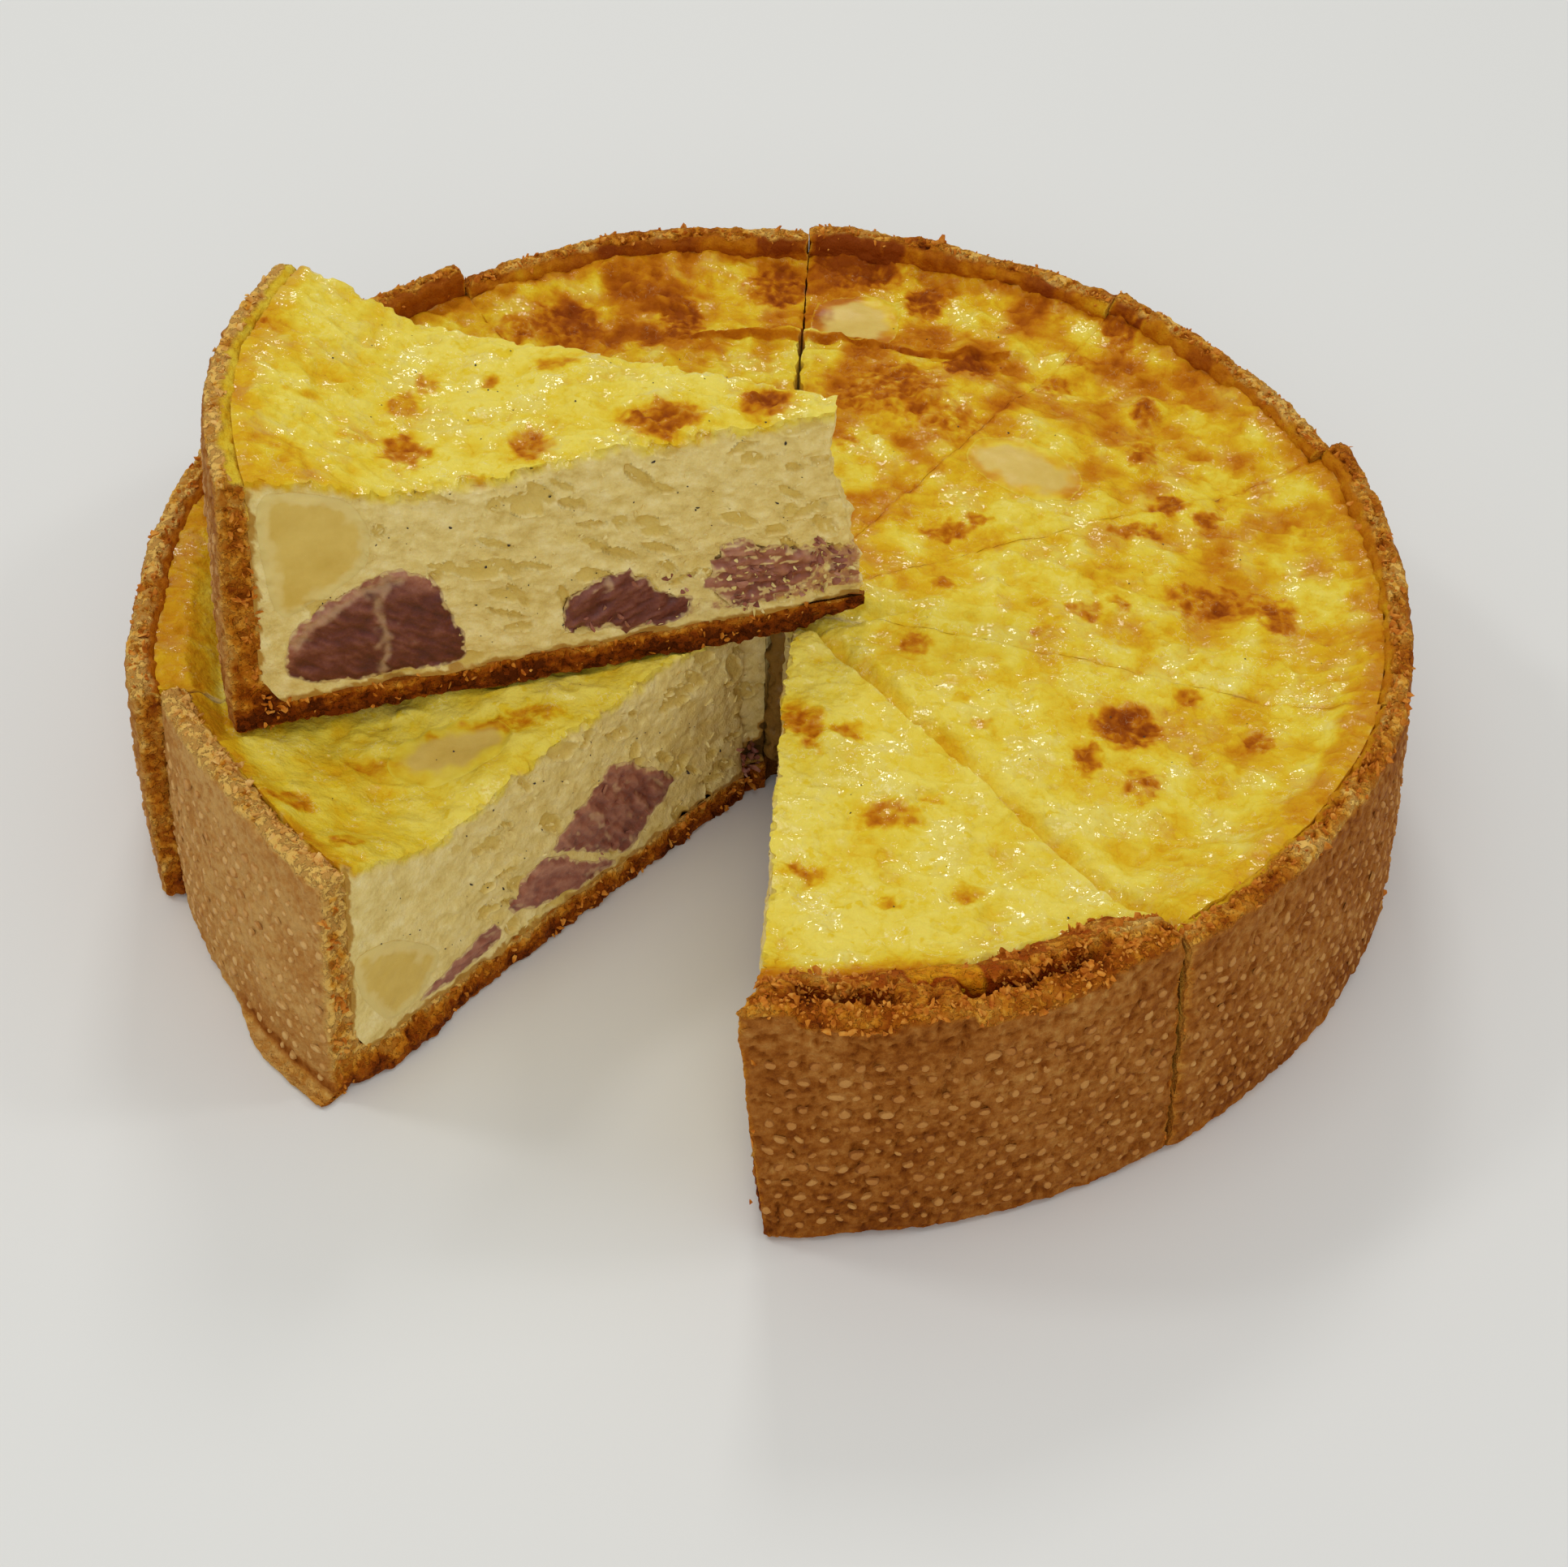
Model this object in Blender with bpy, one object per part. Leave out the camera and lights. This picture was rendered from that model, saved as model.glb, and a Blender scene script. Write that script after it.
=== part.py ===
"""Deep ham and potato quiche, baked in a straight ring and cut in ten.

Nine slices stand in the ring's shape, and the tenth, cut from the open gap at the front, lies on top.
All lengths are in millimetres and all angles in degrees until a mesh is made, which is in metres.
+Z is up. The quiche rests on z = 0 with the middle of its box at the origin.
"""
import math

import bmesh
import bpy
from mathutils import Matrix, Vector, noise

MM = 0.001

# ---------------------------------------------------------------- driving dimensions
BASE_THICKNESS = 7.0        # crust under the custard
WALL_THICKNESS = 6.5        # crust round the custard
PIECE_GAP = 0.35            # between a piece and what it lies in or against
TIP_RADIUS = 2.0            # blunt point of a slice
CRUST_STEPS = 19            # sections along a slice's crust
CUSTARD_STEPS = 13          # sections along a slice's custard
FOOT_HEIGHT = 1.6           # rounding under the outer wall
CENTRE_LEVEL = 52.0         # custard in the middle of the quiche
CRUMB = 0.7                 # how far the crumbly rim strays

# The knife cuts meet near CUT_CENTRE. Each has its direction, how far its two faces lie to the left of
# the line through CUT_CENTRE (face of the slice before it, face of the slice after it), and the custard
# there: level at the trough, trough radius, where the slope to it starts, level at the wall.
CUT_CENTRE = Vector((0.5, -6.5))
CUTS = {
    "B": dict(at=-92.2, before=0.0, after=2.0, trough=50.0, trough_r=96, slope_r=60, edge=56.0),
    "C": dict(at=-52.0, before=-1.7, after=-0.4, trough=50.0, trough_r=100, slope_r=60, edge=54.5),
    "D": dict(at=-14.6, before=-0.2, after=0.2, trough=50.0, trough_r=100, slope_r=60, edge=53.5),
    "E": dict(at=23.7, before=-0.2, after=0.2, trough=50.0, trough_r=100, slope_r=65, edge=52.5),
    "F": dict(at=55.0, before=-0.2, after=0.2, trough=49.0, trough_r=94, slope_r=82, edge=50.5),
    "G": dict(at=88.3, before=-0.4, after=0.4, trough=47.8, trough_r=91, slope_r=87, edge=49.0),
    "H": dict(at=125.2, before=-0.4, after=0.4, trough=48.0, trough_r=92, slope_r=85, edge=51.0),
    "I": dict(at=161.0, before=-0.2, after=0.2, trough=49.0, trough_r=94, slope_r=70, edge=52.5),
    "J": dict(at=197.4, before=-0.5, after=0.5, trough=48.5, trough_r=94, slope_r=62, edge=53.5),
    "A": dict(at=228.9, before=-3.0, after=0.0, trough=48.0, trough_r=92, slope_r=62, edge=55.5),
}
# Each slice runs from one cut to the next: the rim's radius at its start, middle and end, the radius
# of the wall's foot, the rim's height, and what sets some of them apart.
SLICES = {
    "bc": dict(start="B", end="C", rim=(126.5, 131.0, 129.5), base=(131.5, 132.0), height=58.5, split=6.0),
    "cd": dict(start="C", end="D", rim=(130.5, 130.2, 130.8), base=(132.5, 133.5), height=57.0),
    "de": dict(start="D", end="E", rim=(130.0, 129.0, 130.0), base=(132.5, 132.0), height=57.0),
    "ef": dict(start="E", end="F", rim=(127.5, 126.5, 128.3), base=(130.5, 130.5), height=56.0),
    "fg": dict(start="F", end="G", rim=(126.5, 126.5, 128.0), base=(130.0, 130.0), height=55.5),
    "gh": dict(start="G", end="H", rim=(126.0, 129.0, 127.0), base=(130.0, 130.0), height=55.0),
    "hi": dict(start="H", end="I", rim=(129.5, 130.0, 131.0), base=(131.5, 132.0), height=58.5),
    "ij": dict(start="I", end="J", rim=(129.5, 131.0, 134.5), base=(132.0, 134.0), height=56.5),
    "ja": dict(start="J", end="A", rim=(129.0, 126.5, 127.4), base=(130.0, 130.6), height=57.2, foot=2.2),
}
# The slice on top, modelled about its own point with its middle along +X, then turned and set down.
LIFTED = dict(rim=(128.0, 130.0, 129.5), base=(131.5, 131.5), height=60.0)
LIFTED_HALF_ANGLE = 17.93
LIFTED_BASE = 6.2
LIFTED_TURN = 180.88        # about Z
LIFTED_PITCH = -0.37        # then about Y
LIFTED_ROLL = -2.67         # then about X: the edge towards the gap is the higher one
BEARING_MARGIN = 7.0        # how far round the lifted slice the custard is pressed down
LIFTED_POINT = Vector((18.86, -8.84, 50.43))
LIFTED_TROUGH = dict(trough=49.6, trough_r=86, slope_r=55, edge=58.0)

# Pieces that show in a cut face: outline in (distance along the face, height) and depth. On the left
# face of the gap, distances start LEFT_FACE_START from the foot of CUT_CENTRE on that face.
LEFT_FACE_START = -1.1
HAM_IN_LEFT_FACE = {
    "ham_left_large": dict(outline=((47.6, 35.6), (37.7, 28.0), (30.9, 19.4), (37.9, 14.3), (45.2, 9.6),
                                    (56.6, 17.4), (65.8, 25.1), (56.0, 30.5)), depth=9.0),
    "ham_left_pale": dict(outline=((66.6, 23.4), (57.6, 15.6), (48.0, 8.6), (59.0, 8.8), (71.0, 11.8),
                                   (78.5, 17.0), (71.5, 22.4)), depth=9.0),
    "ham_left_sliver": dict(outline=((102.6, 9.2), (93.0, 13.4), (82.6, 15.4), (81.6, 11.2), (91.6, 8.9)),
                            depth=7.0),
}
POTATO_IN_LEFT_FACE = {
    "potato_left": dict(outline=((117.8, 31.4), (111.3, 31.7), (104.8, 27.8), (99.0, 21.8), (97.9, 16.4),
                                 (104.6, 10.2), (111.6, 11.4), (117.4, 22.4)), depth=12.0),
}
HAM_IN_LIFTED_FACE = {
    "ham_lifted_large": dict(outline=((118.6, 20.6), (111.3, 27.4), (103.1, 31.2), (96.2, 32.6), (90.6, 29.2),
                                      (87.0, 20.4), (85.0, 9.0), (95.0, 7.9), (109.8, 8.3), (119.1, 11.6)),
                             depth=12.0),
    "ham_lifted_middle": dict(outline=((64.0, 11.0), (64.2, 18.4), (57.6, 21.2), (51.1, 22.5), (46.0, 17.6),
                                       (37.6, 11.2), (43.8, 8.2), (52.2, 8.4)), depth=9.0),
    "ham_lifted_inner": dict(outline=((34.6, 14.4), (32.6, 23.6), (27.0, 24.6), (19.6, 21.4), (13.4, 19.4),
                                      (12.6, 12.4), (21.7, 9.2), (29.8, 8.6)), depth=3.6),
}
POTATO_IN_LIFTED_FACE = {
    "potato_lifted": dict(outline=((121.0, 51.0), (112.4, 51.4), (105.2, 47.6), (103.1, 41.0), (104.6, 35.2),
                                   (108.6, 32.2), (114.4, 29.4), (119.0, 28.2), (121.2, 35.0)), depth=11.0),
}
# Potato that shows in the top: middle, half length, half width and turn in plan, and the slice it is in.
POTATO_ON_TOP = {
    "potato_top_back": dict(at=(15.4, 97.0), half=(10.0, 10.5), turn=-4.0, square=3.4, slice="fg"),
    "potato_top_right": dict(at=(52.0, 40.0), half=(13.6, 8.6), turn=-36.0, square=2.2, slice="ef"),
    "potato_top_left": dict(at=(-63.5, -52.0), half=(12.5, 7.6), turn=20.0, square=2.0, slice="ja"),
}
POTATO_DEPTH = 6.0
# Browned lumps and dips that stand out of the custard: middle in plan, radius, height.
LUMPS = (
    (79.6, 64.2, 6.5, 2.2), (78.3, 45.0, 6.0, 2.0), (66.0, 79.0, 7.0, 1.6), (41.3, 82.4, 6.0, 2.4),
    (69.5, -41.2, 9.0, -1.2), (100.0, -8.0, 16.0, 1.2), (30.0, 62.0, 18.0, 1.0), (20.0, -56.0, 14.0, 0.8),
    (24.0, -30.0, 7.0, 0.7), (88.0, -52.0, 12.0, 0.8), (-54.0, -58.0, 14.0, 2.0), (-78.0, -70.0, 12.0, -1.2),
    (-60.0, 94.0, 14.0, 1.0), (-30.0, 104.0, 9.0, 1.4), (-58.0, 70.0, 16.0, 0.8), (96.0, 36.0, 11.0, -1.0),
)

COLOURS = {
    "baked_crust": ((0.42, 0.17, 0.045), 0.75),
    "custard": ((0.80, 0.60, 0.13), 0.35),
    "ham": ((0.32, 0.12, 0.12), 0.5),
    "potato": ((0.66, 0.55, 0.26), 0.4),
}


# ---------------------------------------------------------------- small helpers
def ease(start, end, value):
    """Smooth step from 0 at start to 1 at end."""
    t = min(max((value - start) / (end - start), 0.0), 1.0)
    return t * t * (3.0 - 2.0 * t)


def mix(a, b, t):
    return a + (b - a) * t


def through(values, t):
    """Smooth value along two or three evenly spaced values, t from 0 to 1."""
    place = t * (len(values) - 1)
    index = min(int(place), len(values) - 2)
    return mix(values[index], values[index + 1], ease(0.0, 1.0, place - index))


def ripple(x, y, size, layer):
    """Soft unevenness between about -1 and 1, the same at every run."""
    return 2.0 * noise.noise(Vector((x / size, y / size, 7.3 * layer)))


def direction(angle):
    return Vector((math.cos(math.radians(angle)), math.sin(math.radians(angle))))


def across(angle):
    return Vector((-math.sin(math.radians(angle)), math.cos(math.radians(angle))))


def crossing(point_a, angle_a, point_b, angle_b):
    """Where two lines in plan meet."""
    d_a, d_b = direction(angle_a), direction(angle_b)
    span = point_b - point_a
    return point_a + d_a * ((span.x * d_b.y - span.y * d_b.x) / (d_a.x * d_b.y - d_a.y * d_b.x))


def reach(point, heading, radius):
    """Distance from a point along a heading to the circle of this radius about the quiche's middle."""
    along = point.dot(heading)
    return -along + math.sqrt(along * along - point.length_squared + radius * radius)


# ---------------------------------------------------------------- the lifted slice's place
LIFT = (Matrix.Translation(LIFTED_POINT)
        @ Matrix.Rotation(math.radians(LIFTED_ROLL), 4, "X")
        @ Matrix.Rotation(math.radians(LIFTED_PITCH), 4, "Y")
        @ Matrix.Rotation(math.radians(LIFTED_TURN), 4, "Z"))
LIFT_BACK = LIFT.inverted()
LIFT_UP = (LIFT.to_3x3() @ Vector((0, 0, 1))).normalized()


def bearing_level(x, y):
    """Height the custard may have here so that the lifted slice lies on it, rising away from the slice."""
    under = LIFTED_POINT.z - (LIFT_UP.x * (x - LIFTED_POINT.x) + LIFT_UP.y * (y - LIFTED_POINT.y)) / LIFT_UP.z
    local = LIFT_BACK @ Vector((x, y, under))
    half = math.radians(LIFTED_HALF_ANGLE)
    inside_cut = local.x * math.sin(half) - abs(local.y) * math.cos(half)
    inside_rim = LIFTED["base"][0] - math.hypot(local.x, local.y)
    outside = max(0.0, -min(inside_cut, inside_rim) - BEARING_MARGIN)
    return under - PIECE_GAP - 0.1 + 0.8 * outside


# ---------------------------------------------------------------- the custard's top
def between_cuts(azimuth):
    """The two cuts that this azimuth lies between, and how far along, from 0 to 1."""
    names = list(CUTS)
    azimuth = (azimuth - CUTS["B"]["at"]) % 360.0 + CUTS["B"]["at"]
    for name, following in zip(names, names[1:]):
        if azimuth <= CUTS[following]["at"]:
            first, second = CUTS[name], CUTS[following]
            return first, second, (azimuth - first["at"]) / (second["at"] - first["at"])
    first, second = CUTS[names[-1]], CUTS[names[0]]
    return first, second, (azimuth - first["at"]) / (second["at"] + 360.0 - first["at"])


def bowl(radius, inner, shape):
    """Custard level over the radius: flat middle, trough, and up to the wall."""
    level = mix(inner, shape["trough"], ease(shape["slope_r"], shape["trough_r"], radius))
    return level + (shape["edge"] - shape["trough"]) * ease(shape["trough_r"] + 4.0, 123.0, radius)


def quiche_top(x, y):
    """Height of the custard of the slices that stand in the ring."""
    radius = math.hypot(x, y)
    first, second, t = between_cuts(math.degrees(math.atan2(y, x)))
    shape = {key: mix(first[key], second[key], t) for key in ("trough", "trough_r", "slope_r", "edge")}
    level = bowl(radius, CENTRE_LEVEL, shape)
    level += 0.6 * ripple(x, y, 17.0, 1) + 0.35 * ripple(x, y, 7.5, 2)
    for lump_x, lump_y, size, height in LUMPS:
        level += height * (1.0 - ease(0.0, size, math.hypot(x - lump_x, y - lump_y)))
    return min(level, bearing_level(x, y))


def lifted_top(x, y):
    """Height of the custard of the lifted slice, above its own base."""
    level = bowl(math.hypot(x, y), CENTRE_LEVEL, LIFTED_TROUGH)
    return level + 0.7 * ripple(x, y, 15.0, 3) + 0.35 * ripple(x, y, 7.0, 4)


# ---------------------------------------------------------------- slices
class Slice:
    """A wedge between two cuts, and the sections that its crust and its custard are lofted from."""

    def __init__(self, spec, start, end, top, base_thickness=BASE_THICKNESS):
        (self.start_point, self.start_angle), (self.end_point, self.end_angle) = start, end
        self.point = crossing(self.start_point, self.start_angle, self.end_point, self.end_angle)
        self.spec = spec
        self.top = top
        self.base_thickness = base_thickness
        self.wall = WALL_THICKNESS + (3.0 if spec.get("split") else 0.0)

    def heading(self, s):
        return direction(mix(self.start_angle, self.end_angle, s))

    def outer_radius(self, s, z):
        base, rim = through(self.spec["base"], s), through(self.spec["rim"], s)
        return mix(base, rim, z / self.spec["height"])

    def place(self, s, radius, z):
        """The point at this radius about the quiche's middle, on the section at s."""
        heading = self.heading(s)
        flat = self.point + heading * reach(self.point, heading, radius)
        return Vector((flat.x, flat.y, z))

    def near_point(self, s, distance, z):
        """The point at this distance from the slice's own point, on the section at s."""
        flat = self.point + self.heading(s) * distance
        return Vector((flat.x, flat.y, z))

    def crust_section(self, s):
        spec, wall, base = self.spec, self.wall, self.base_thickness
        rim = self.place(s, self.outer_radius(s, spec["height"]), 0.0)
        stray = CRUMB * ripple(rim.x, rim.y, 9.0, 5)
        stray_in = CRUMB * ripple(rim.x, rim.y, 6.0, 6)
        height = spec["height"] + 0.9 * CRUMB * ripple(rim.x, rim.y, 13.0, 7)
        split = spec.get("split", 0.0) * ease(0.02, 0.16, s) * ease(1.0, 0.86, s)
        lip = 0.45 * split
        foot = spec.get("foot", 0.0) * ease(0.45, 0.75, s)

        def wall_at(inwards, z):
            return self.place(s, self.outer_radius(s, min(z, height)) - inwards, z)

        return [
            self.near_point(s, TIP_RADIUS, 0.0),
            self.near_point(s, 62.0, 0.0),
            wall_at(1.8 - foot, 0.0),
            wall_at(-foot, FOOT_HEIGHT),
            wall_at(0.0, FOOT_HEIGHT + 2.4),
            wall_at(-0.4, 0.42 * height),
            wall_at(0.0, height - lip - 4.0),
            wall_at(0.9 - stray, height - lip - 1.0),
            wall_at(mix(0.36, 0.46, split / 6.0) * wall - stray, height + 0.3 - 1.35 * split),
            wall_at(0.8 * wall + 0.5 * stray_in, height - 0.5),
            wall_at(wall, height - 2.8),
            wall_at(wall, 30.0),
            wall_at(wall, base + 6.5),
            wall_at(wall + 1.5, base + 2.2),
            wall_at(wall + 6.0, base),
            self.near_point(s, 62.0, base),
            self.near_point(s, TIP_RADIUS, base),
        ]

    def custard_section(self, s):
        wall, base = self.wall + PIECE_GAP, self.base_thickness + PIECE_GAP

        def wall_at(inwards, z):
            return self.place(s, self.outer_radius(s, z) - inwards, z)

        edge = self.place(s, self.outer_radius(s, 52.0) - wall - 0.05, 0.0)
        points = [
            self.near_point(s, TIP_RADIUS + 0.3, base),
            self.near_point(s, 62.0, base),
            wall_at(wall + 6.1, base),
            wall_at(wall + 1.6, base + 2.2),
            wall_at(wall, base + 6.5),
            wall_at(wall, 30.0),
        ]
        reach_out = (Vector((edge.x, edge.y)) - self.point).length
        for share in (1.0, 0.965, 0.925, 0.87, 0.81, 0.74, 0.67, 0.59, 0.5, 0.4, 0.3, 0.2, 0.11):
            top = self.near_point(s, reach_out * share, 0.0)
            top.z = min(self.top(top.x, top.y), self.spec["height"] - 1.2)
            points.append(top)
        tip = self.near_point(s, TIP_RADIUS + 0.3, 0.0)
        tip.z = self.top(tip.x, tip.y)
        points.append(tip)
        return points


# ---------------------------------------------------------------- meshes
def material(name):
    colour, roughness = COLOURS[name]
    made = bpy.data.materials.get(name) or bpy.data.materials.new(name)
    made.use_nodes = True
    shader = made.node_tree.nodes["Principled BSDF"]
    shader.inputs["Base Color"].default_value = (*colour, 1.0)
    shader.inputs["Roughness"].default_value = roughness
    shader.inputs["Metallic"].default_value = 0.0
    made.diffuse_color = (*colour, 1.0)
    return made


def loft(name, sections, finish, collection):
    """A closed solid through like sections, each a ring of points in mm."""
    mesh_maker = bmesh.new()
    rings = [[mesh_maker.verts.new(point * MM) for point in section] for section in sections]
    for ring, following in zip(rings, rings[1:]):
        for index in range(len(ring)):
            after = (index + 1) % len(ring)
            mesh_maker.faces.new((ring[index], ring[after], following[after], following[index]))
    mesh_maker.faces.new(rings[0])
    mesh_maker.faces.new(rings[-1])
    bmesh.ops.recalc_face_normals(mesh_maker, faces=mesh_maker.faces)
    mesh = bpy.data.meshes.new(name)
    mesh_maker.to_mesh(mesh)
    mesh_maker.free()
    solid = bpy.data.objects.new(name, mesh)
    collection.objects.link(solid)
    solid.data.materials.append(material(finish))
    return solid


def carve(solid, cutter):
    """Leaves the cutter's shape as a hollow in the solid."""
    cutter.hide_render = True
    cutter.display_type = "WIRE"
    cut = solid.modifiers.new("room_for_" + cutter.name, "BOOLEAN")
    cut.operation = "DIFFERENCE"
    cut.object = cutter


def rounded_outline(points, per_side=2):
    """A closed smooth outline through a few points."""
    outline = []
    count = len(points)
    for index in range(count):
        p0, p1, p2, p3 = (Vector(points[(index + k) % count]) for k in (-1, 0, 1, 2))
        for step in range(per_side):
            t = step / per_side
            outline.append(p1 + 0.5 * t * ((p2 - p0) + t * ((2 * p0 - 5 * p1 + 4 * p2 - p3)
                                                            + t * (3 * p1 - p0 - 3 * p2 + p3))))
    return outline


def grown(outline, amount):
    """The outline moved outwards by an amount."""
    middle = sum(outline, Vector((0, 0))) / len(outline)
    return [point + (point - middle).normalized() * amount for point in outline]


def scaled(outline, factor):
    middle = sum(outline, Vector((0, 0))) / len(outline)
    return [middle + (point - middle) * factor for point in outline]


def face_piece(name, spec, face_point, face_angle, into, finish, parts, cutters):
    """A piece that a cut went through: flat in the cut face and rounded off inside the custard.

    into is +1 where the slice lies to the left of the cut's direction, and -1 where it lies to the right.
    """
    outline = rounded_outline(spec["outline"])
    along, inwards = direction(face_angle), across(face_angle) * into

    def ring(shape, depth):
        return [Vector((*(face_point + along * p.x + inwards * depth), p.y)) for p in shape]

    depth = spec["depth"]
    piece = loft(name, [ring(scaled(outline, 0.9), -0.5), ring(outline, 0.1), ring(scaled(outline, 0.93), 0.5 * depth),
                        ring(scaled(outline, 0.6), depth)], finish, parts)
    room = grown(outline, PIECE_GAP)
    cutter = loft(name + "_room", [ring(room, -2.0), ring(room, 0.1),
                                   ring(grown(scaled(outline, 0.93), PIECE_GAP), 0.5 * depth + PIECE_GAP),
                                   ring(grown(scaled(outline, 0.6), PIECE_GAP), depth + PIECE_GAP)], finish, cutters)
    return piece, cutter


def top_piece(name, spec, top, finish, parts, cutters):
    """A flat piece that shows in the top of the custard."""
    middle, turn = Vector(spec["at"]), Matrix.Rotation(math.radians(spec["turn"]), 2)
    (long_half, short_half), power = spec["half"], 2.0 / spec["square"]
    steps = 22

    def outline(scale, extra=0.0):
        ring = []
        for k in range(steps):
            c, s = math.cos(2 * math.pi * k / steps), math.sin(2 * math.pi * k / steps)
            x = math.copysign(abs(c) ** power, c) * (long_half * scale + extra)
            y = math.copysign(abs(s) ** power, s) * (short_half * scale + extra)
            ring.append(middle + turn @ Vector((x, y)))
        return ring

    def ring(scale, lift):
        return [Vector((p.x, p.y, top(p.x, p.y) + lift)) for p in outline(scale)]

    def flat(scale, z, extra=0.0):
        return [Vector((p.x, p.y, z)) for p in outline(scale, extra)]

    floor = top(*middle) - POTATO_DEPTH
    piece = loft(name, [ring(0.45, 0.5), ring(0.86, 0.35), ring(1.0, -0.3), flat(1.0, floor)], finish, parts)
    cutter = loft(name + "_room", [flat(1.0, floor + 3.0 * POTATO_DEPTH, PIECE_GAP),
                                   flat(1.0, floor - PIECE_GAP, PIECE_GAP)], finish, cutters)
    return piece, cutter


# ---------------------------------------------------------------- the quiche
def collection(name):
    made = bpy.data.collections.new(name)
    bpy.context.scene.collection.children.link(made)
    return made


def build_slice(label, wedge, parts):
    steps = CRUST_STEPS
    crust = loft("crust_" + label, [wedge.crust_section(k / steps) for k in range(steps + 1)], "baked_crust", parts)
    steps = CUSTARD_STEPS
    custard = loft("custard_" + label, [wedge.custard_section(k / steps) for k in range(steps + 1)], "custard", parts)
    return crust, custard


def standing_slices(parts, cutters):
    custards = {}
    for label, spec in SLICES.items():
        start, end = CUTS[spec["start"]], CUTS[spec["end"]]
        wedge = Slice(spec,
                      (CUT_CENTRE + across(start["at"]) * start["after"], start["at"]),
                      (CUT_CENTRE + across(end["at"]) * end["before"], end["at"]), quiche_top)
        custards[label] = (build_slice(label, wedge, parts)[1], wedge)
    for label, spec in POTATO_ON_TOP.items():
        cutter = top_piece(label, spec, quiche_top, "potato", parts, cutters)[1]
        carve(custards[spec["slice"]][0], cutter)
    custard, wedge = custards["ja"]
    face = CUTS["A"]
    face_start = (CUT_CENTRE + across(face["at"]) * face["before"] + direction(face["at"]) * LEFT_FACE_START)
    for pieces, finish in ((HAM_IN_LEFT_FACE, "ham"), (POTATO_IN_LEFT_FACE, "potato")):
        for label, spec in pieces.items():
            cutter = face_piece(label, spec, face_start, face["at"], -1.0, finish, parts, cutters)[1]
            carve(custard, cutter)


def lifted_slice(parts, cutters):
    origin = Vector((0.0, 0.0))
    wedge = Slice(LIFTED, (origin, -LIFTED_HALF_ANGLE), (origin, LIFTED_HALF_ANGLE), lifted_top, LIFTED_BASE)
    crust, custard = build_slice("lifted", wedge, parts)
    moved = [crust, custard]
    for pieces, finish in ((HAM_IN_LIFTED_FACE, "ham"), (POTATO_IN_LIFTED_FACE, "potato")):
        for label, spec in pieces.items():
            piece, cutter = face_piece(label, spec, origin, LIFTED_HALF_ANGLE, -1.0, finish, parts, cutters)
            carve(custard, cutter)
            moved += [piece, cutter]
    metres = Matrix.Scale(MM, 4)
    for solid in moved:
        solid.data.transform(metres @ LIFT @ metres.inverted())


def centre_on_origin(parts, cutters):
    """Moves everything so that the middle of the quiche's box stands over the origin."""
    bpy.context.view_layer.update()
    corners = [solid.matrix_world @ vertex.co for solid in parts.objects for vertex in solid.data.vertices]
    middle = [0.5 * (min(c[axis] for c in corners) + max(c[axis] for c in corners)) for axis in (0, 1)]
    shift = Matrix.Translation((-middle[0], -middle[1], 0.0))
    for solid in [*parts.objects, *cutters.objects]:
        solid.data.transform(shift)


def main():
    for old in list(bpy.data.objects):
        bpy.data.objects.remove(old)
    parts, cutters = collection("quiche"), collection("cutters")
    standing_slices(parts, cutters)
    lifted_slice(parts, cutters)
    centre_on_origin(parts, cutters)


main()
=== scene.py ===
"""Looks of a deep ham and potato quiche, cut in ten, with one slice lifted out and laid on top.

Shapes are worked out in millimetres about the middle of the quiche and set into the frame at the end.
Angles are in degrees, anticlockwise from +X, and the open gap between the slices is at the front, -Y.
"""

import itertools
import math

import bmesh
import bpy
import numpy as np
from mathutils import Matrix, Vector
from mathutils.geometry import delaunay_2d_cdt


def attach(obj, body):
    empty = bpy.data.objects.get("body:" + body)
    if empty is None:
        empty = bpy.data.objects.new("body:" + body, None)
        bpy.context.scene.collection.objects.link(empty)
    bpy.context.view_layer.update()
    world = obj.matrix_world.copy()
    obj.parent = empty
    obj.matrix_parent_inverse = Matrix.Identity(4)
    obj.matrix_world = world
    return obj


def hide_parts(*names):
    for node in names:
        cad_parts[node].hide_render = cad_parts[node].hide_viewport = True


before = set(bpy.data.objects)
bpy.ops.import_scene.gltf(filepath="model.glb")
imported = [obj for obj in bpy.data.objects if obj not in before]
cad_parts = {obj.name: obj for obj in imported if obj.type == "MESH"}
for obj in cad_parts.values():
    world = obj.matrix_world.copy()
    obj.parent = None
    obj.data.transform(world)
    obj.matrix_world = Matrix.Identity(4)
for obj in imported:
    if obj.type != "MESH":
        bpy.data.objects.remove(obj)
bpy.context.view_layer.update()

MM = 0.001
SHIFT = np.array((0.334, 0.734, 0.0))       # from the quiche's middle to the frame's origin
POINT_SPACING = 0.55

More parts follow.
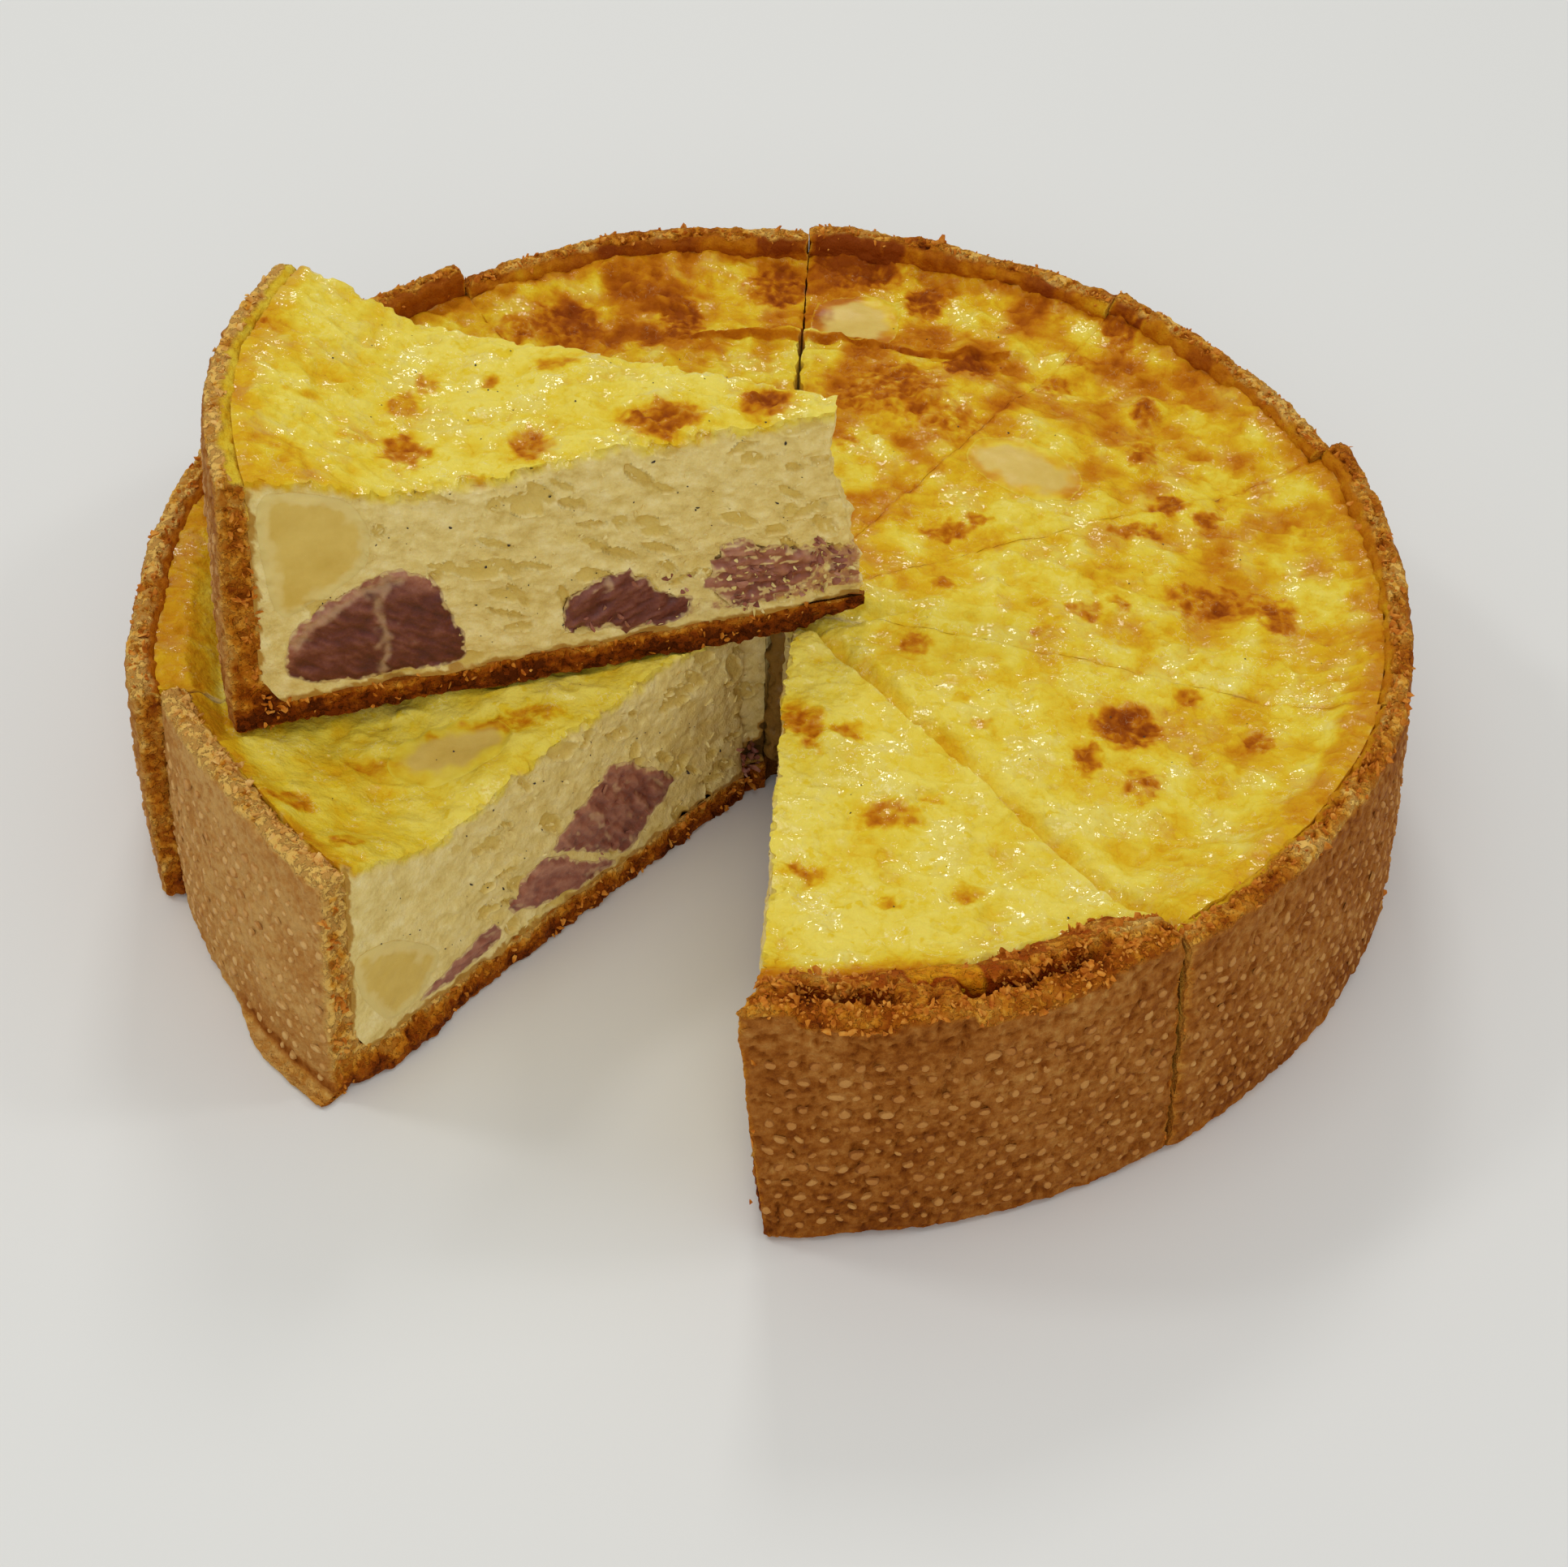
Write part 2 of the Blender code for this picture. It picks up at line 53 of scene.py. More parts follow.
# ---- the quiche's sizes, as in its solids
BASE_THICKNESS = 7.0
WALL_THICKNESS = 6.5
SPLIT_WALL = 9.5
MEAN_RADIUS = 130.0
CUSTARD_OVERLAP = 0.7                       # how far the custard reaches into the wall
CENTRE_LEVEL = 52.0
CUT_CENTRE = np.array((0.5, -6.5))
CUTS = {
    "B": dict(at=-92.2, before=0.0, after=2.0, trough=50.0, trough_r=96, slope_r=60, edge=56.0),
    "C": dict(at=-52.0, before=-1.7, after=-0.4, trough=50.0, trough_r=100, slope_r=60, edge=54.5),
    "D": dict(at=-14.6, before=-0.2, after=0.2, trough=50.0, trough_r=100, slope_r=60, edge=53.5),
    "E": dict(at=23.7, before=-0.2, after=0.2, trough=50.0, trough_r=100, slope_r=65, edge=52.5),
    "F": dict(at=55.0, before=-0.2, after=0.2, trough=49.0, trough_r=94, slope_r=82, edge=50.5),
    "G": dict(at=88.3, before=-0.4, after=0.4, trough=47.8, trough_r=91, slope_r=87, edge=49.0),
    "H": dict(at=125.2, before=-0.4, after=0.4, trough=48.0, trough_r=92, slope_r=85, edge=51.0),
    "I": dict(at=161.0, before=-0.2, after=0.2, trough=49.0, trough_r=94, slope_r=70, edge=52.5),
    "J": dict(at=197.4, before=-0.5, after=0.5, trough=48.5, trough_r=94, slope_r=62, edge=53.5),
    "A": dict(at=228.9, before=-3.0, after=0.0, trough=48.0, trough_r=92, slope_r=62, edge=55.5),
}
# open: the cut faces that can be seen, "s" at the slice's start and "e" at its end. bake: how brown the
# wall is, from 0, golden, to 1, dark.
SLICES = {
    "bc": dict(start="B", end="C", rim=(126.5, 131.0, 129.5), base=(131.5, 132.0), height=58.5, split=True,
               open="s", soft_edge=7.0, bake=0.55, rim_bake=0.34, cut_bake=0.4, base_bake=0.7, pits=0.9),
    "cd": dict(start="C", end="D", rim=(130.5, 130.2, 130.8), base=(132.5, 133.5), height=57.0, bake=0.5,
               rim_bake=0.3, pits=1.1),
    "de": dict(start="D", end="E", rim=(130.0, 129.0, 130.0), base=(132.5, 132.0), height=57.0, bake=0.5,
               rim_bake=0.28, pits=1.1),
    "ef": dict(start="E", end="F", rim=(127.5, 126.5, 128.3), base=(130.5, 130.5), height=56.0, bake=0.45),
    "fg": dict(start="F", end="G", rim=(126.5, 126.5, 128.0), base=(130.0, 130.0), height=55.5, bake=0.45),
    "gh": dict(start="G", end="H", rim=(126.0, 129.0, 127.0), base=(130.0, 130.0), height=55.0, bake=0.45),
    "hi": dict(start="H", end="I", rim=(129.5, 130.0, 131.0), base=(131.5, 132.0), height=58.5, bake=0.4),
    "ij": dict(start="I", end="J", rim=(129.5, 131.0, 134.5), base=(132.0, 134.0), height=56.5, open="e",
               bake=0.32, rim_bake=-0.02, cut_bake=0.42, base_bake=0.7),
    "ja": dict(start="J", end="A", rim=(129.0, 126.5, 127.4), base=(130.0, 130.6), height=57.2, open="e", foot=3.6,
               bake=0.11, rim_bake=-0.08, cut_bake=0.04, base_bake=0.74, grit=0.3, pits=0.35),
}
LIFTED = dict(rim=(128.0, 130.0, 129.5), base=(131.5, 131.5), height=60.0, open="se", bake=0.34, rim_bake=-0.05,
              cut_bake=0.5, base_bake=0.9, pits=0.3)
LIFTED_HALF_ANGLE = 17.93
LIFTED_BASE = 6.2
LIFTED_POINT = Vector((18.86, -8.84, 50.43))
LIFTED_TROUGH = dict(trough=49.6, trough_r=86, slope_r=55, edge=58.0)
LIFT = (Matrix.Translation(LIFTED_POINT) @ Matrix.Rotation(math.radians(-2.67), 4, "X")
        @ Matrix.Rotation(math.radians(-0.37), 4, "Y") @ Matrix.Rotation(math.radians(180.88), 4, "Z"))
LIFT_UP = (LIFT.to_3x3() @ Vector((0, 0, 1))).normalized()
# Where the broken point of the lifted slice's custard lies, at each height.
TIP_HEIGHTS = (6.0, 16.0, 19.0, 25.5, 34.0, 42.0, 53.6)
TIP_REACH = (2.6, 3.2, 4.7, 5.7, 8.5, 10.0, 8.6)

# Pieces that show in the two open cut faces: outline in (distance along the face, height), and depth.
LEFT_FACE_START = -1.1
LEFT_FACE = {
    "ham_left_large": dict(outline=((47.6, 35.6), (37.7, 28.0), (30.9, 19.4), (37.9, 14.3), (45.2, 9.6),
                                    (56.6, 17.4), (65.8, 25.1), (56.0, 30.5)),
                           depth=9.0, kind="ham", dark=0.2, fibres=60.0, loose=0.9, pale_rim=0.3, flecks=0.35),
    "ham_left_pale": dict(outline=((66.6, 23.4), (57.6, 15.6), (48.0, 8.6), (59.0, 8.8), (71.0, 11.8),
                                   (78.5, 17.0), (71.5, 22.4)),
                          depth=9.0, kind="ham", dark=-0.1, fibres=40.0, loose=0.4),
    "ham_left_sliver": dict(outline=((102.6, 9.2), (93.0, 13.4), (82.6, 15.4), (81.6, 11.2), (91.6, 8.9)),
                            depth=7.0, kind="ham", dark=0.1, fibres=15.0, loose=0.8),
    "potato_left": dict(outline=((117.8, 31.4), (111.3, 31.7), (104.8, 27.8), (99.0, 21.8), (97.9, 16.4),
                                 (104.6, 10.2), (111.6, 11.4), (117.4, 22.4)), depth=12.0, kind="potato"),
}
LIFTED_FACE = {
    "ham_lifted_large": dict(outline=((118.6, 20.6), (111.3, 27.4), (103.1, 31.2), (96.2, 32.6), (90.6, 29.2),
                                      (87.0, 20.4), (85.0, 9.0), (95.0, 7.9), (109.8, 8.3), (119.1, 11.6)),
                             depth=12.0, kind="ham", dark=0.8, loose=0.4, pale_rim=1.0,
                             seams=[((99.5, 31.0), (101.5, 24.0), (100.0, 17.0), (101.0, 9.0)),
                                    ((118.0, 19.0), (112.0, 25.0), (104.0, 28.6), (97.0, 30.5))]),
    "ham_lifted_middle": dict(outline=((64.0, 11.0), (64.2, 18.4), (57.6, 21.2), (51.1, 22.5), (46.0, 17.6),
                                       (37.6, 11.2), (43.8, 8.2), (52.2, 8.4)),
                              depth=9.0, kind="ham", dark=0.6, ragged=1.5, fibres=-25.0, loose=0.9),
    "ham_lifted_inner": dict(outline=((34.6, 14.4), (32.6, 23.6), (27.0, 24.6), (19.6, 21.4), (13.4, 19.4),
                                      (12.6, 12.4), (21.7, 9.2), (29.8, 8.6)),
                             depth=3.6, kind="ham", dark=0.1, ragged=1.6, fibres=12.0, loose=1.3, flecks=0.9),
    "potato_lifted": dict(outline=((121.6, 53.2), (112.4, 53.4), (104.6, 49.6), (101.6, 41.6), (103.4, 34.8),
                                   (107.8, 31.2), (113.6, 28.0), (119.4, 26.4), (121.7, 34.0)), depth=11.0,
                          kind="potato"),
}
TOP_POTATO = {
    "potato_top_back": dict(at=(15.4, 97.0), half=(10.0, 10.5), turn=-4.0, square=3.4),
    "potato_top_right": dict(at=(52.0, 40.0), half=(13.6, 8.6), turn=-36.0, square=2.2),
    "potato_top_left": dict(at=(-63.5, -52.0), half=(12.5, 7.6), turn=20.0, square=2.0),
}
POTATO_DEPTH = 6.0
# Cuts that show as a groove in the top: how deep and how wide before the cut, and after it.
GROOVES = {"C": ((0.2, 0.6), (2.9, 4.8)), "G": ((0.6, 1.5), (0.4, 1.2)), "J": ((0.4, 1.6), (0.4, 1.6))}
SHUT_CUT = ((0.22, 0.9), (0.22, 0.9))
OPEN_EDGE = (0.2, 1.3)
BROWN_LINES = "DEFHI"                       # shut cuts with a browner line along them
WALL_CRACK = ((-168.6, 56.0), (-169.4, 49.0), (-171.2, 44.0), (-171.6, 38.0))
PALE_RIMS = ("ja", "lifted")
# How far up the rim the custard's skin reaches, in key points of the crust's profile, where not to 11.7.
COAT_FROM = {"bc": 99.0, "ja": 13.0, "lifted": 10.9}
# How much browner that skin is than the top beside it.
COAT_TAN = {"bc": 0.0, "cd": 0.04, "de": 0.08, "ef": 0.14, "fg": 0.18, "gh": 0.24, "hi": 0.3, "ij": 0.26,
            "ja": 0.02, "lifted": -0.14}
RIM_CRUMBS = {"bc": 850, "ja": 220, "cd": 200, "lifted": 80}    # loose crumbs on a rim, where not 120
LUMPS = (
    (79.6, 64.2, 6.5, 2.2), (78.3, 45.0, 6.0, 2.0), (66.0, 79.0, 7.0, 1.6), (41.3, 82.4, 6.0, 2.4),
    (69.5, -41.2, 9.0, -1.2), (100.0, -8.0, 16.0, 1.2), (30.0, 62.0, 18.0, 1.0), (20.0, -56.0, 14.0, 0.8),
    (24.0, -30.0, 7.0, 0.7), (88.0, -52.0, 12.0, 0.8), (-54.0, -58.0, 14.0, 2.0), (-78.0, -70.0, 12.0, -1.2),
    (-60.0, 94.0, 14.0, 1.0), (-30.0, 104.0, 9.0, 1.4), (-58.0, 70.0, 16.0, 0.8), (96.0, 36.0, 11.0, -1.0),
)
# Line of a low step in the top at the back, along a slab of potato.
SHELF = ((-24.0, 84.6), (-8.0, 85.8), (3.0, 85.0), (14.0, 86.6), (26.0, 83.6), (38.0, 82.4), (50.0, 84.0))
# Browned spots of the top: middle, half sizes and how brown, from 0 to 1.
SPOTS = (
    (69.5, -41.0, 7.2, 6.6, 0.95), (61.0, -51.2, 3.2, 5.2, 0.72), (27.3, -18.7, 3.6, 3.5, 0.6),
    (71.6, -57.7, 3.9, 4.2, 0.66), (82.3, -31.4, 3.3, 3.4, 0.58), (94.8, -45.2, 3.5, 4.3, 0.58),
    (5.4, -42.8, 4.5, 6.0, 0.6), (14.2, -46.0, 3.2, 2.8, 0.55), (22.0, -68.7, 6.5, 3.6, 0.58),
    (5.2, -84.0, 5.2, 2.6, 0.65), (37.1, -88.4, 3.6, 3.0, 0.5), (21.9, -90.8, 2.3, 2.1, 0.5),
    (36.8, -35.6, 1.9, 1.9, 0.42), (41.4, -42.1, 2.4, 1.9, 0.35), (62.4, -7.1, 4.2, 3.4, 0.58),
    (70.1, -4.3, 2.5, 2.3, 0.5), (53.8, -13.9, 2.5, 2.0, 0.45), (34.2, 0.8, 2.4, 2.1, 0.55),
    (35.4, 17.7, 6.2, 3.0, 0.64), (41.5, 21.2, 2.4, 2.8, 0.7), (40.3, 77.9, 6.2, 5.0, 1.0),
    (60.2, 73.3, 4.7, 4.3, 0.6), (82.6, 29.8, 4.5, 3.4, 0.72), (90.8, 24.7, 3.1, 4.2, 0.7),
    (75.0, 19.9, 7.2, 2.6, 0.68), (102.5, -6.8, 5.0, 6.8, 0.65), (79.6, 64.4, 3.4, 7.9, 0.65),
    (77.6, 46.7, 3.9, 6.4, 0.65), (76.1, 81.1, 2.8, 3.1, 0.55), (31.6, 104.6, 5.3, 7.2, 0.82),
    (16.5, 118.8, 13.0, 9.0, 0.98), (-2.4, 111.2, 7.6, 8.7, 0.82), (-24.4, 95.5, 5.6, 9.7, 0.84),
    (-50.2, 92.8, 9.6, 11.0, 0.74), (-61.1, 89.1, 5.5, 6.4, 0.6), (76.0, 95.3, 4.7, 11.7, 0.75),
    (66.1, 82.2, 3.7, 5.0, 0.5), (120.1, 31.4, 4.4, 8.6, 0.5), (22.0, 66.4, 15.4, 11.6, 0.7),
    (34.4, 55.0, 10.7, 8.3, 0.55), (13.9, 48.3, 2.5, 3.5, 0.5), (-53.6, -45.8, 8.0, 2.0, 0.55),
    (-47.4, -42.5, 6.4, 2.0, 0.45), (-67.6, -49.2, 2.2, 2.4, 0.42), (-79.6, -81.7, 3.0, 2.2, 0.5),
    (-91.6, -71.8, 5.2, 3.2, 0.55), (-103.8, -45.9, 6.3, 3.6, 0.4), (-78.0, -55.4, 6.3, 2.4, 0.38),
    (50.6, 112.0, 5.7, 6.0, 0.7), (61.5, 102.7, 7.5, 6.6, 0.6), (90.3, -2.1, 13.8, 6.4, 0.6),
    (7.1, -49.8, 2.2, 2.1, 0.5), (30.7, -63.8, 3.1, 1.8, 0.3), (112.2, 14.6, 3.4, 11.0, 0.36),
    (92.7, 71.1, 9.0, 10.4, 0.28),
)
LIFTED_SPOTS = (
    (91.4, 14.9, 4.6, 5.4, 0.74), (67.5, 13.8, 4.6, 5.6, 0.66), (89.2, -8.6, 2.5, 3.5, 0.68),
    (92.4, -0.8, 3.8, 4.5, 0.58), (63.7, -13.5, 4.2, 2.4, 0.5), (42.2, 6.4, 8.1, 5.6, 0.84),
    (21.9, -1.0, 5.7, 5.1, 0.84), (121.6, -16.0, 3.2, 3.0, 0.55), (76.2, -9.2, 2.1, 2.3, 0.52),
    (77.6, 24.2, 2.3, 1.8, 0.45), (98.6, 13.1, 6.2, 2.8, 0.36), (114.4, 22.9, 6.1, 3.4, 0.38),
    (110.5, 3.8, 4.7, 2.2, 0.3), (54.2, 1.1, 3.1, 2.4, 0.26),
)


# ---- numbers
def ease(start, end, value):
    """Smooth step from 0 at start to 1 at end."""
    t = np.clip((value - start) / (end - start), 0.0, 1.0)
    return t * t * (3.0 - 2.0 * t)


def mix(a, b, t):
    return a + (b - a) * t


def through(values, t):
    """Smooth value along two or three evenly spaced values, t from 0 to 1."""
    values = np.asarray(values, float)
    place = np.asarray(t, float) * (len(values) - 1)
    index = np.minimum(place.astype(int), len(values) - 2)
    return mix(values[index], values[index + 1], ease(0.0, 1.0, place - index))


def direction(angle):
    return np.stack([np.cos(np.radians(angle)), np.sin(np.radians(angle))], axis=-1)


def across(angle):
    return np.stack([-np.sin(np.radians(angle)), np.cos(np.radians(angle))], axis=-1)


TABLE = np.random.default_rng(11).permutation(256)
SLOPES = np.random.default_rng(12).normal(size=(256, 3))
SLOPES /= np.linalg.norm(SLOPES, axis=1, keepdims=True)


def cell_number(cells):
    c = cells & 255
    return TABLE[(TABLE[(TABLE[c[..., 0]] + c[..., 1]) & 255] + c[..., 2]) & 255]


def ripple(points, size, layer=0):
    """Soft unevenness between about -1 and 1 at points (n, 3), with bumps of this size in mm."""
    places = np.asarray(points) / size + 31.7 * layer
    low = np.floor(places).astype(int)
    inside = places - low
    fade = inside ** 3 * (inside * (6 * inside - 15) + 10)
    total = np.zeros(len(places))
    for corner in itertools.product((0, 1), repeat=3):
        weight = np.prod(np.where(corner, fade, 1 - fade), axis=1)
        total += weight * np.einsum("ij,ij->i", SLOPES[cell_number(low + corner)], inside - corner)
    return 1.8 * total


def rough(points, size, layer=0, octaves=3, gain=0.55):
    """Unevenness of several sizes, each half the last."""
    return sum(gain ** k * ripple(points, size / 2 ** k, layer + 0.37 * k) for k in range(octaves))


def grains(points, size, layer=0):
    """How near each point is to the middle of its grain, 1 at the middle and 0 or less where grains meet."""
    places = np.asarray(points) / size + 13.3 * layer
    low = np.floor(places).astype(int)
    nearest = np.full(len(places), 9.0)
    for corner in itertools.product((-1, 0, 1), repeat=3):
        cell = low + corner
        number = cell_number(cell)
        middle = cell + 0.5 + 0.42 * SLOPES[number]
        nearest = np.minimum(nearest, np.sum((places - middle) ** 2, axis=1))
    return 1.0 - 1.5 * np.sqrt(nearest)


def flat3(x, y, z=0.0):
    x, y = np.broadcast_arrays(x, y)
    return np.stack([x, y, np.broadcast_to(z, x.shape)], axis=-1).astype(float)


def curve(p0, p1, p2, p3, t):
    """Place on a smooth curve from p1 to p2, t from 0 to 1."""
    return p1 + 0.5 * t * ((p2 - p0) + t * ((2 * p0 - 5 * p1 + 4 * p2 - p3) + t * (3 * p1 - p0 - 3 * p2 + p3)))


def smooth_line(points, spacing):
    """Closed smooth outline through a few points, with its points about this far apart."""
    points = np.asarray(points, float)
    ring = []
    for i in range(len(points)):
        near = [points[(i + k) % len(points)] for k in (-1, 0, 1, 2)]
        steps = max(2, int(np.linalg.norm(near[2] - near[1]) / spacing))
        ring += [curve(*near, k / steps) for k in range(steps)]
    return np.array(ring)


def segment_distance(points, start, run):
    """Distance in plan from each point to the nearest of some segments."""
    rel = points[:, None] - start
    share = np.clip(np.sum(rel * run, axis=2) / np.sum(run * run, axis=1), 0, 1)
    return np.linalg.norm(rel - share[..., None] * run, axis=2).min(axis=1)


def inside_by(points, outline):
    """How far each point lies inside a closed outline in plan; less than 0 is outside."""
    start, end = outline, np.roll(outline, -1, axis=0)
    run = end - start
    far = segment_distance(points, start, run)
    above = (start[:, 1] > points[:, 1:2]) != (end[:, 1] > points[:, 1:2])
    slope = np.where(above, (points[:, 1:2] - start[:, 1]) / np.where(run[:, 1] == 0, 1, run[:, 1]), 0)
    crossed = above & (points[:, 0:1] < start[:, 0] + slope * run[:, 0])
    return np.where(crossed.sum(axis=1) % 2 == 1, far, -far)


def line_distance(x, y, line):
    """Distance in plan to an open line of points."""
    line = np.asarray(line, float)
    return segment_distance(np.stack([x, y], axis=1), line[:-1], np.diff(line, axis=0))


# ---- the custard's top
CUT_ANGLES = np.array([cut["at"] for cut in CUTS.values()] + [CUTS["B"]["at"] + 360.0])


def top_shape(x, y, key):
    values = [cut[key] for cut in CUTS.values()]
    azimuth = (np.degrees(np.arctan2(y, x)) - CUT_ANGLES[0]) % 360.0 + CUT_ANGLES[0]
    return np.interp(azimuth, CUT_ANGLES, values + values[:1])


def bowl(radius, trough, trough_r, slope_r, edge):
    level = mix(CENTRE_LEVEL, trough, ease(slope_r, trough_r, radius))
    return level + (edge - trough) * ease(trough_r + 4.0, 123.0, radius)


def bearing_level(x, y):
    """Height the custard may have here so that the lifted slice lies on it, rising away from the slice."""
    under = LIFTED_POINT.z - (LIFT_UP.x * (x - LIFTED_POINT.x) + LIFT_UP.y * (y - LIFTED_POINT.y)) / LIFT_UP.z
    back = np.array(LIFT.inverted())
    local = flat3(x, y, under) @ back[:3, :3].T + back[:3, 3]
    half = math.radians(LIFTED_HALF_ANGLE)
    inside_cut = local[..., 0] * math.sin(half) - np.abs(local[..., 1]) * math.cos(half)
    inside_rim = LIFTED["base"][0] - np.hypot(local[..., 0], local[..., 1])
    outside = np.maximum(0.0, -np.minimum(inside_cut, inside_rim) - 1.0)
    return under - 0.25 + 0.9 * outside


def quiche_level(x, y):
    """Main form of the top of the slices that stand in the ring."""
    place, radius = flat3(x, y), np.hypot(x, y)
    level = bowl(radius, *(top_shape(x, y, key) for key in ("trough", "trough_r", "slope_r", "edge")))
    level = level + 0.6 * ripple(place, 17.0, 1) + 0.3 * ripple(place, 7.5, 2)
    level = level + 1.7 * ease(115.5, 122.5, radius + 1.2 * ripple(place, 9.0, 5))
    close = (x > -34.0) & (x < 60.0) & (y > 70.0) & (y < 110.0)
    step = ease(-34.0, -22.0, x[close]) * ease(60.0, 48.0, x[close]) * ease(100.0, 88.0, y[close])
    shelf = np.interp(x[close], *np.transpose(SHELF)) + 0.5 * ripple(place[close], 3.0, 6)
    level[close] += 1.7 * step * ease(-0.5, 0.5, y[close] - shelf)
    for lump_x, lump_y, size, height in LUMPS:
        level = level + height * (1.0 - ease(0.0, size, np.hypot(x - lump_x, y - lump_y)))
    return level


def lifted_level(x, y):
    """Main form of the top of the lifted slice, above its own base."""
    place, radius = flat3(x, y), np.hypot(x, y)
    level = bowl(radius, **LIFTED_TROUGH) + 0.7 * ripple(place, 15.0, 3) + 0.3 * ripple(place, 7.0, 4)
    return level + 0.8 * ease(115.0, 122.0, radius)


def spot_strength(x, y, spots, layer):
    """How brown the spots make the top, with ragged edges and a soft glow round them."""
    place = flat3(x, y)
    near_x, near_y = x + 1.4 * rough(place, 4.0, layer), y + 1.4 * rough(place, 4.0, layer + 1)
    total = np.zeros(len(x))
    for spot_x, spot_y, half_x, half_y, strength in spots:
        away = np.hypot((near_x - spot_x) / half_x, (near_y - spot_y) / half_y)
        total = np.maximum(total, strength * (0.5 * ease(1.15, 0.62, away) + 0.12 * ease(0.7, 0.2, away)
                                              + 0.34 * ease(2.2, 0.7, away)))
    return total * (1.0 + 0.42 * rough(place, 2.1, layer + 2, 3))


def amber_clouds(place, layer):
    """Soft patches from 0 to 1, of several sizes."""
    large, small = rough(place, 17.0, layer, 3, 0.5), rough(place, 6.5, layer + 3, 3)
    return 0.72 * ease(-0.5, 0.7, large) + 0.28 * ease(-0.5, 0.7, small)


# How brown the top is between its spots at each azimuth, near the middle and near the rim.
BROWN_AZIMUTH = (-92, -70, -52, -30, -14, 20, 40, 56, 88, 120, 135, 160, 190, 215, 229, 268)
BROWN_MIDDLE = (0.09, 0.10, 0.12, 0.17, 0.22, 0.26, 0.30, 0.37, 0.40, 0.38, 0.30, 0.17, 0.13, 0.11, 0.10, 0.09)
BROWN_RIM = (0.09, 0.11, 0.16, 0.23, 0.30, 0.35, 0.40, 0.46, 0.52, 0.50, 0.40, 0.26, 0.19, 0.16, 0.14, 0.09)


def quiche_brown(x, y):
    place, radius = flat3(x, y), np.hypot(x, y)
    azimuth = np.degrees(np.arctan2(y, x))
    azimuth = np.where(azimuth < -92.0, azimuth + 360.0, azimuth)
    spots = spot_strength(x, y, SPOTS, 30)
    level = mix(np.interp(azimuth, BROWN_AZIMUTH, BROWN_MIDDLE), np.interp(azimuth, BROWN_AZIMUTH, BROWN_RIM),
                ease(40.0, 108.0, radius))
    base = level * (0.35 + 1.3 * amber_clouds(place, 33))
    at_rim = ease(114.5, 121.5, radius + 2.2 * rough(place, 7.0, 38, 3))
    glaze = (0.34 + 0.5 * level) * at_rim * ease(-90.0, -20.0, azimuth)
    # Painted shadow: a dark brown line along the shelf's step, partly browning of its edge.
    close = (y > 76.0) & (y < 92.0) & (x > -30.0) & (x < 56.0)
    shade = np.zeros(len(x))
    shade[close] = 0.72 * ease(1.7, 0.2, line_distance(x[close], y[close], SHELF))
    base = np.maximum.reduce([base, glaze, shade])
    return np.clip(np.maximum(spots, base) + 0.3 * spots * base, 0, 1)


def lifted_brown(x, y):
    place, radius = flat3(x, y), np.hypot(x, y)
    spots = spot_strength(x, y, LIFTED_SPOTS, 40)
    base = (0.09 + 0.14 * ease(84.0, 118.0, radius)) * (0.3 + 1.4 * amber_clouds(place, 43))
    glaze = 0.34 * ease(116.0, 122.0, radius + 1.6 * rough(place, 7.0, 48, 2))
    return np.clip(np.maximum.reduce([spots, base, glaze]), 0, 1)


# ---- meshes
class Skin:
    """A mesh in the making: patches of points and faces, each point with marks that its colour follows."""

    def __init__(self, *marks):
        self.marks, self.points, self.values, self.faces, self.count = marks, [], [], [], 0

    def add(self, points, faces, **values):
        """faces number the points of this patch. Marks are one number for the patch, or one a point."""
        points = np.asarray(points, float).reshape(-1, 3)
        self.points.append(points)
        self.values.append(np.stack([np.broadcast_to(np.ravel(values.get(mark, 0.0)), len(points))
                                     for mark in self.marks], axis=1))
        self.faces += [[self.count + i for i in face] for face in faces]
        self.count += len(points)

    def grid(self, points, **values):
        rows, columns = points.shape[:2]
        first = (np.arange(rows - 1)[:, None] * columns + np.arange(columns - 1)).ravel()
        corners = np.stack([first, first + 1, first + columns + 1, first + columns], axis=1)
        self.add(points, corners.tolist(), **values)

    def polygon(self, points, **values):
        self.add(points, [list(range(len(points)))], **values)

    def welded(self):
        """All points with the doubles merged, their marks by name, and the faces."""
        points, values = np.concatenate(self.points), np.concatenate(self.values)
        _, first, number = np.unique(np.round(points * 2000).astype(np.int64), axis=0, return_index=True,
                                     return_inverse=True)
        number = number.ravel()
        faces = []
        for face in self.faces:
            ring = [int(number[i]) for i in face]
            ring = [n for k, n in enumerate(ring) if n != ring[k - 1]]
            if len(ring) > 2:
                faces.append(ring)
        share = np.bincount(number)
        marks = {mark: np.bincount(number, weights=values[:, k]) / share for k, mark in enumerate(self.marks)}
        return points[first], marks, faces


def placed(points, lifted):
    """Frame coordinates in metres of points in mm, of the lifted slice or of the rest."""
    if lifted:
        turn = np.array(LIFT)
        points = points @ turn[:3, :3].T + turn[:3, 3]
    return (points + SHIFT) * MM


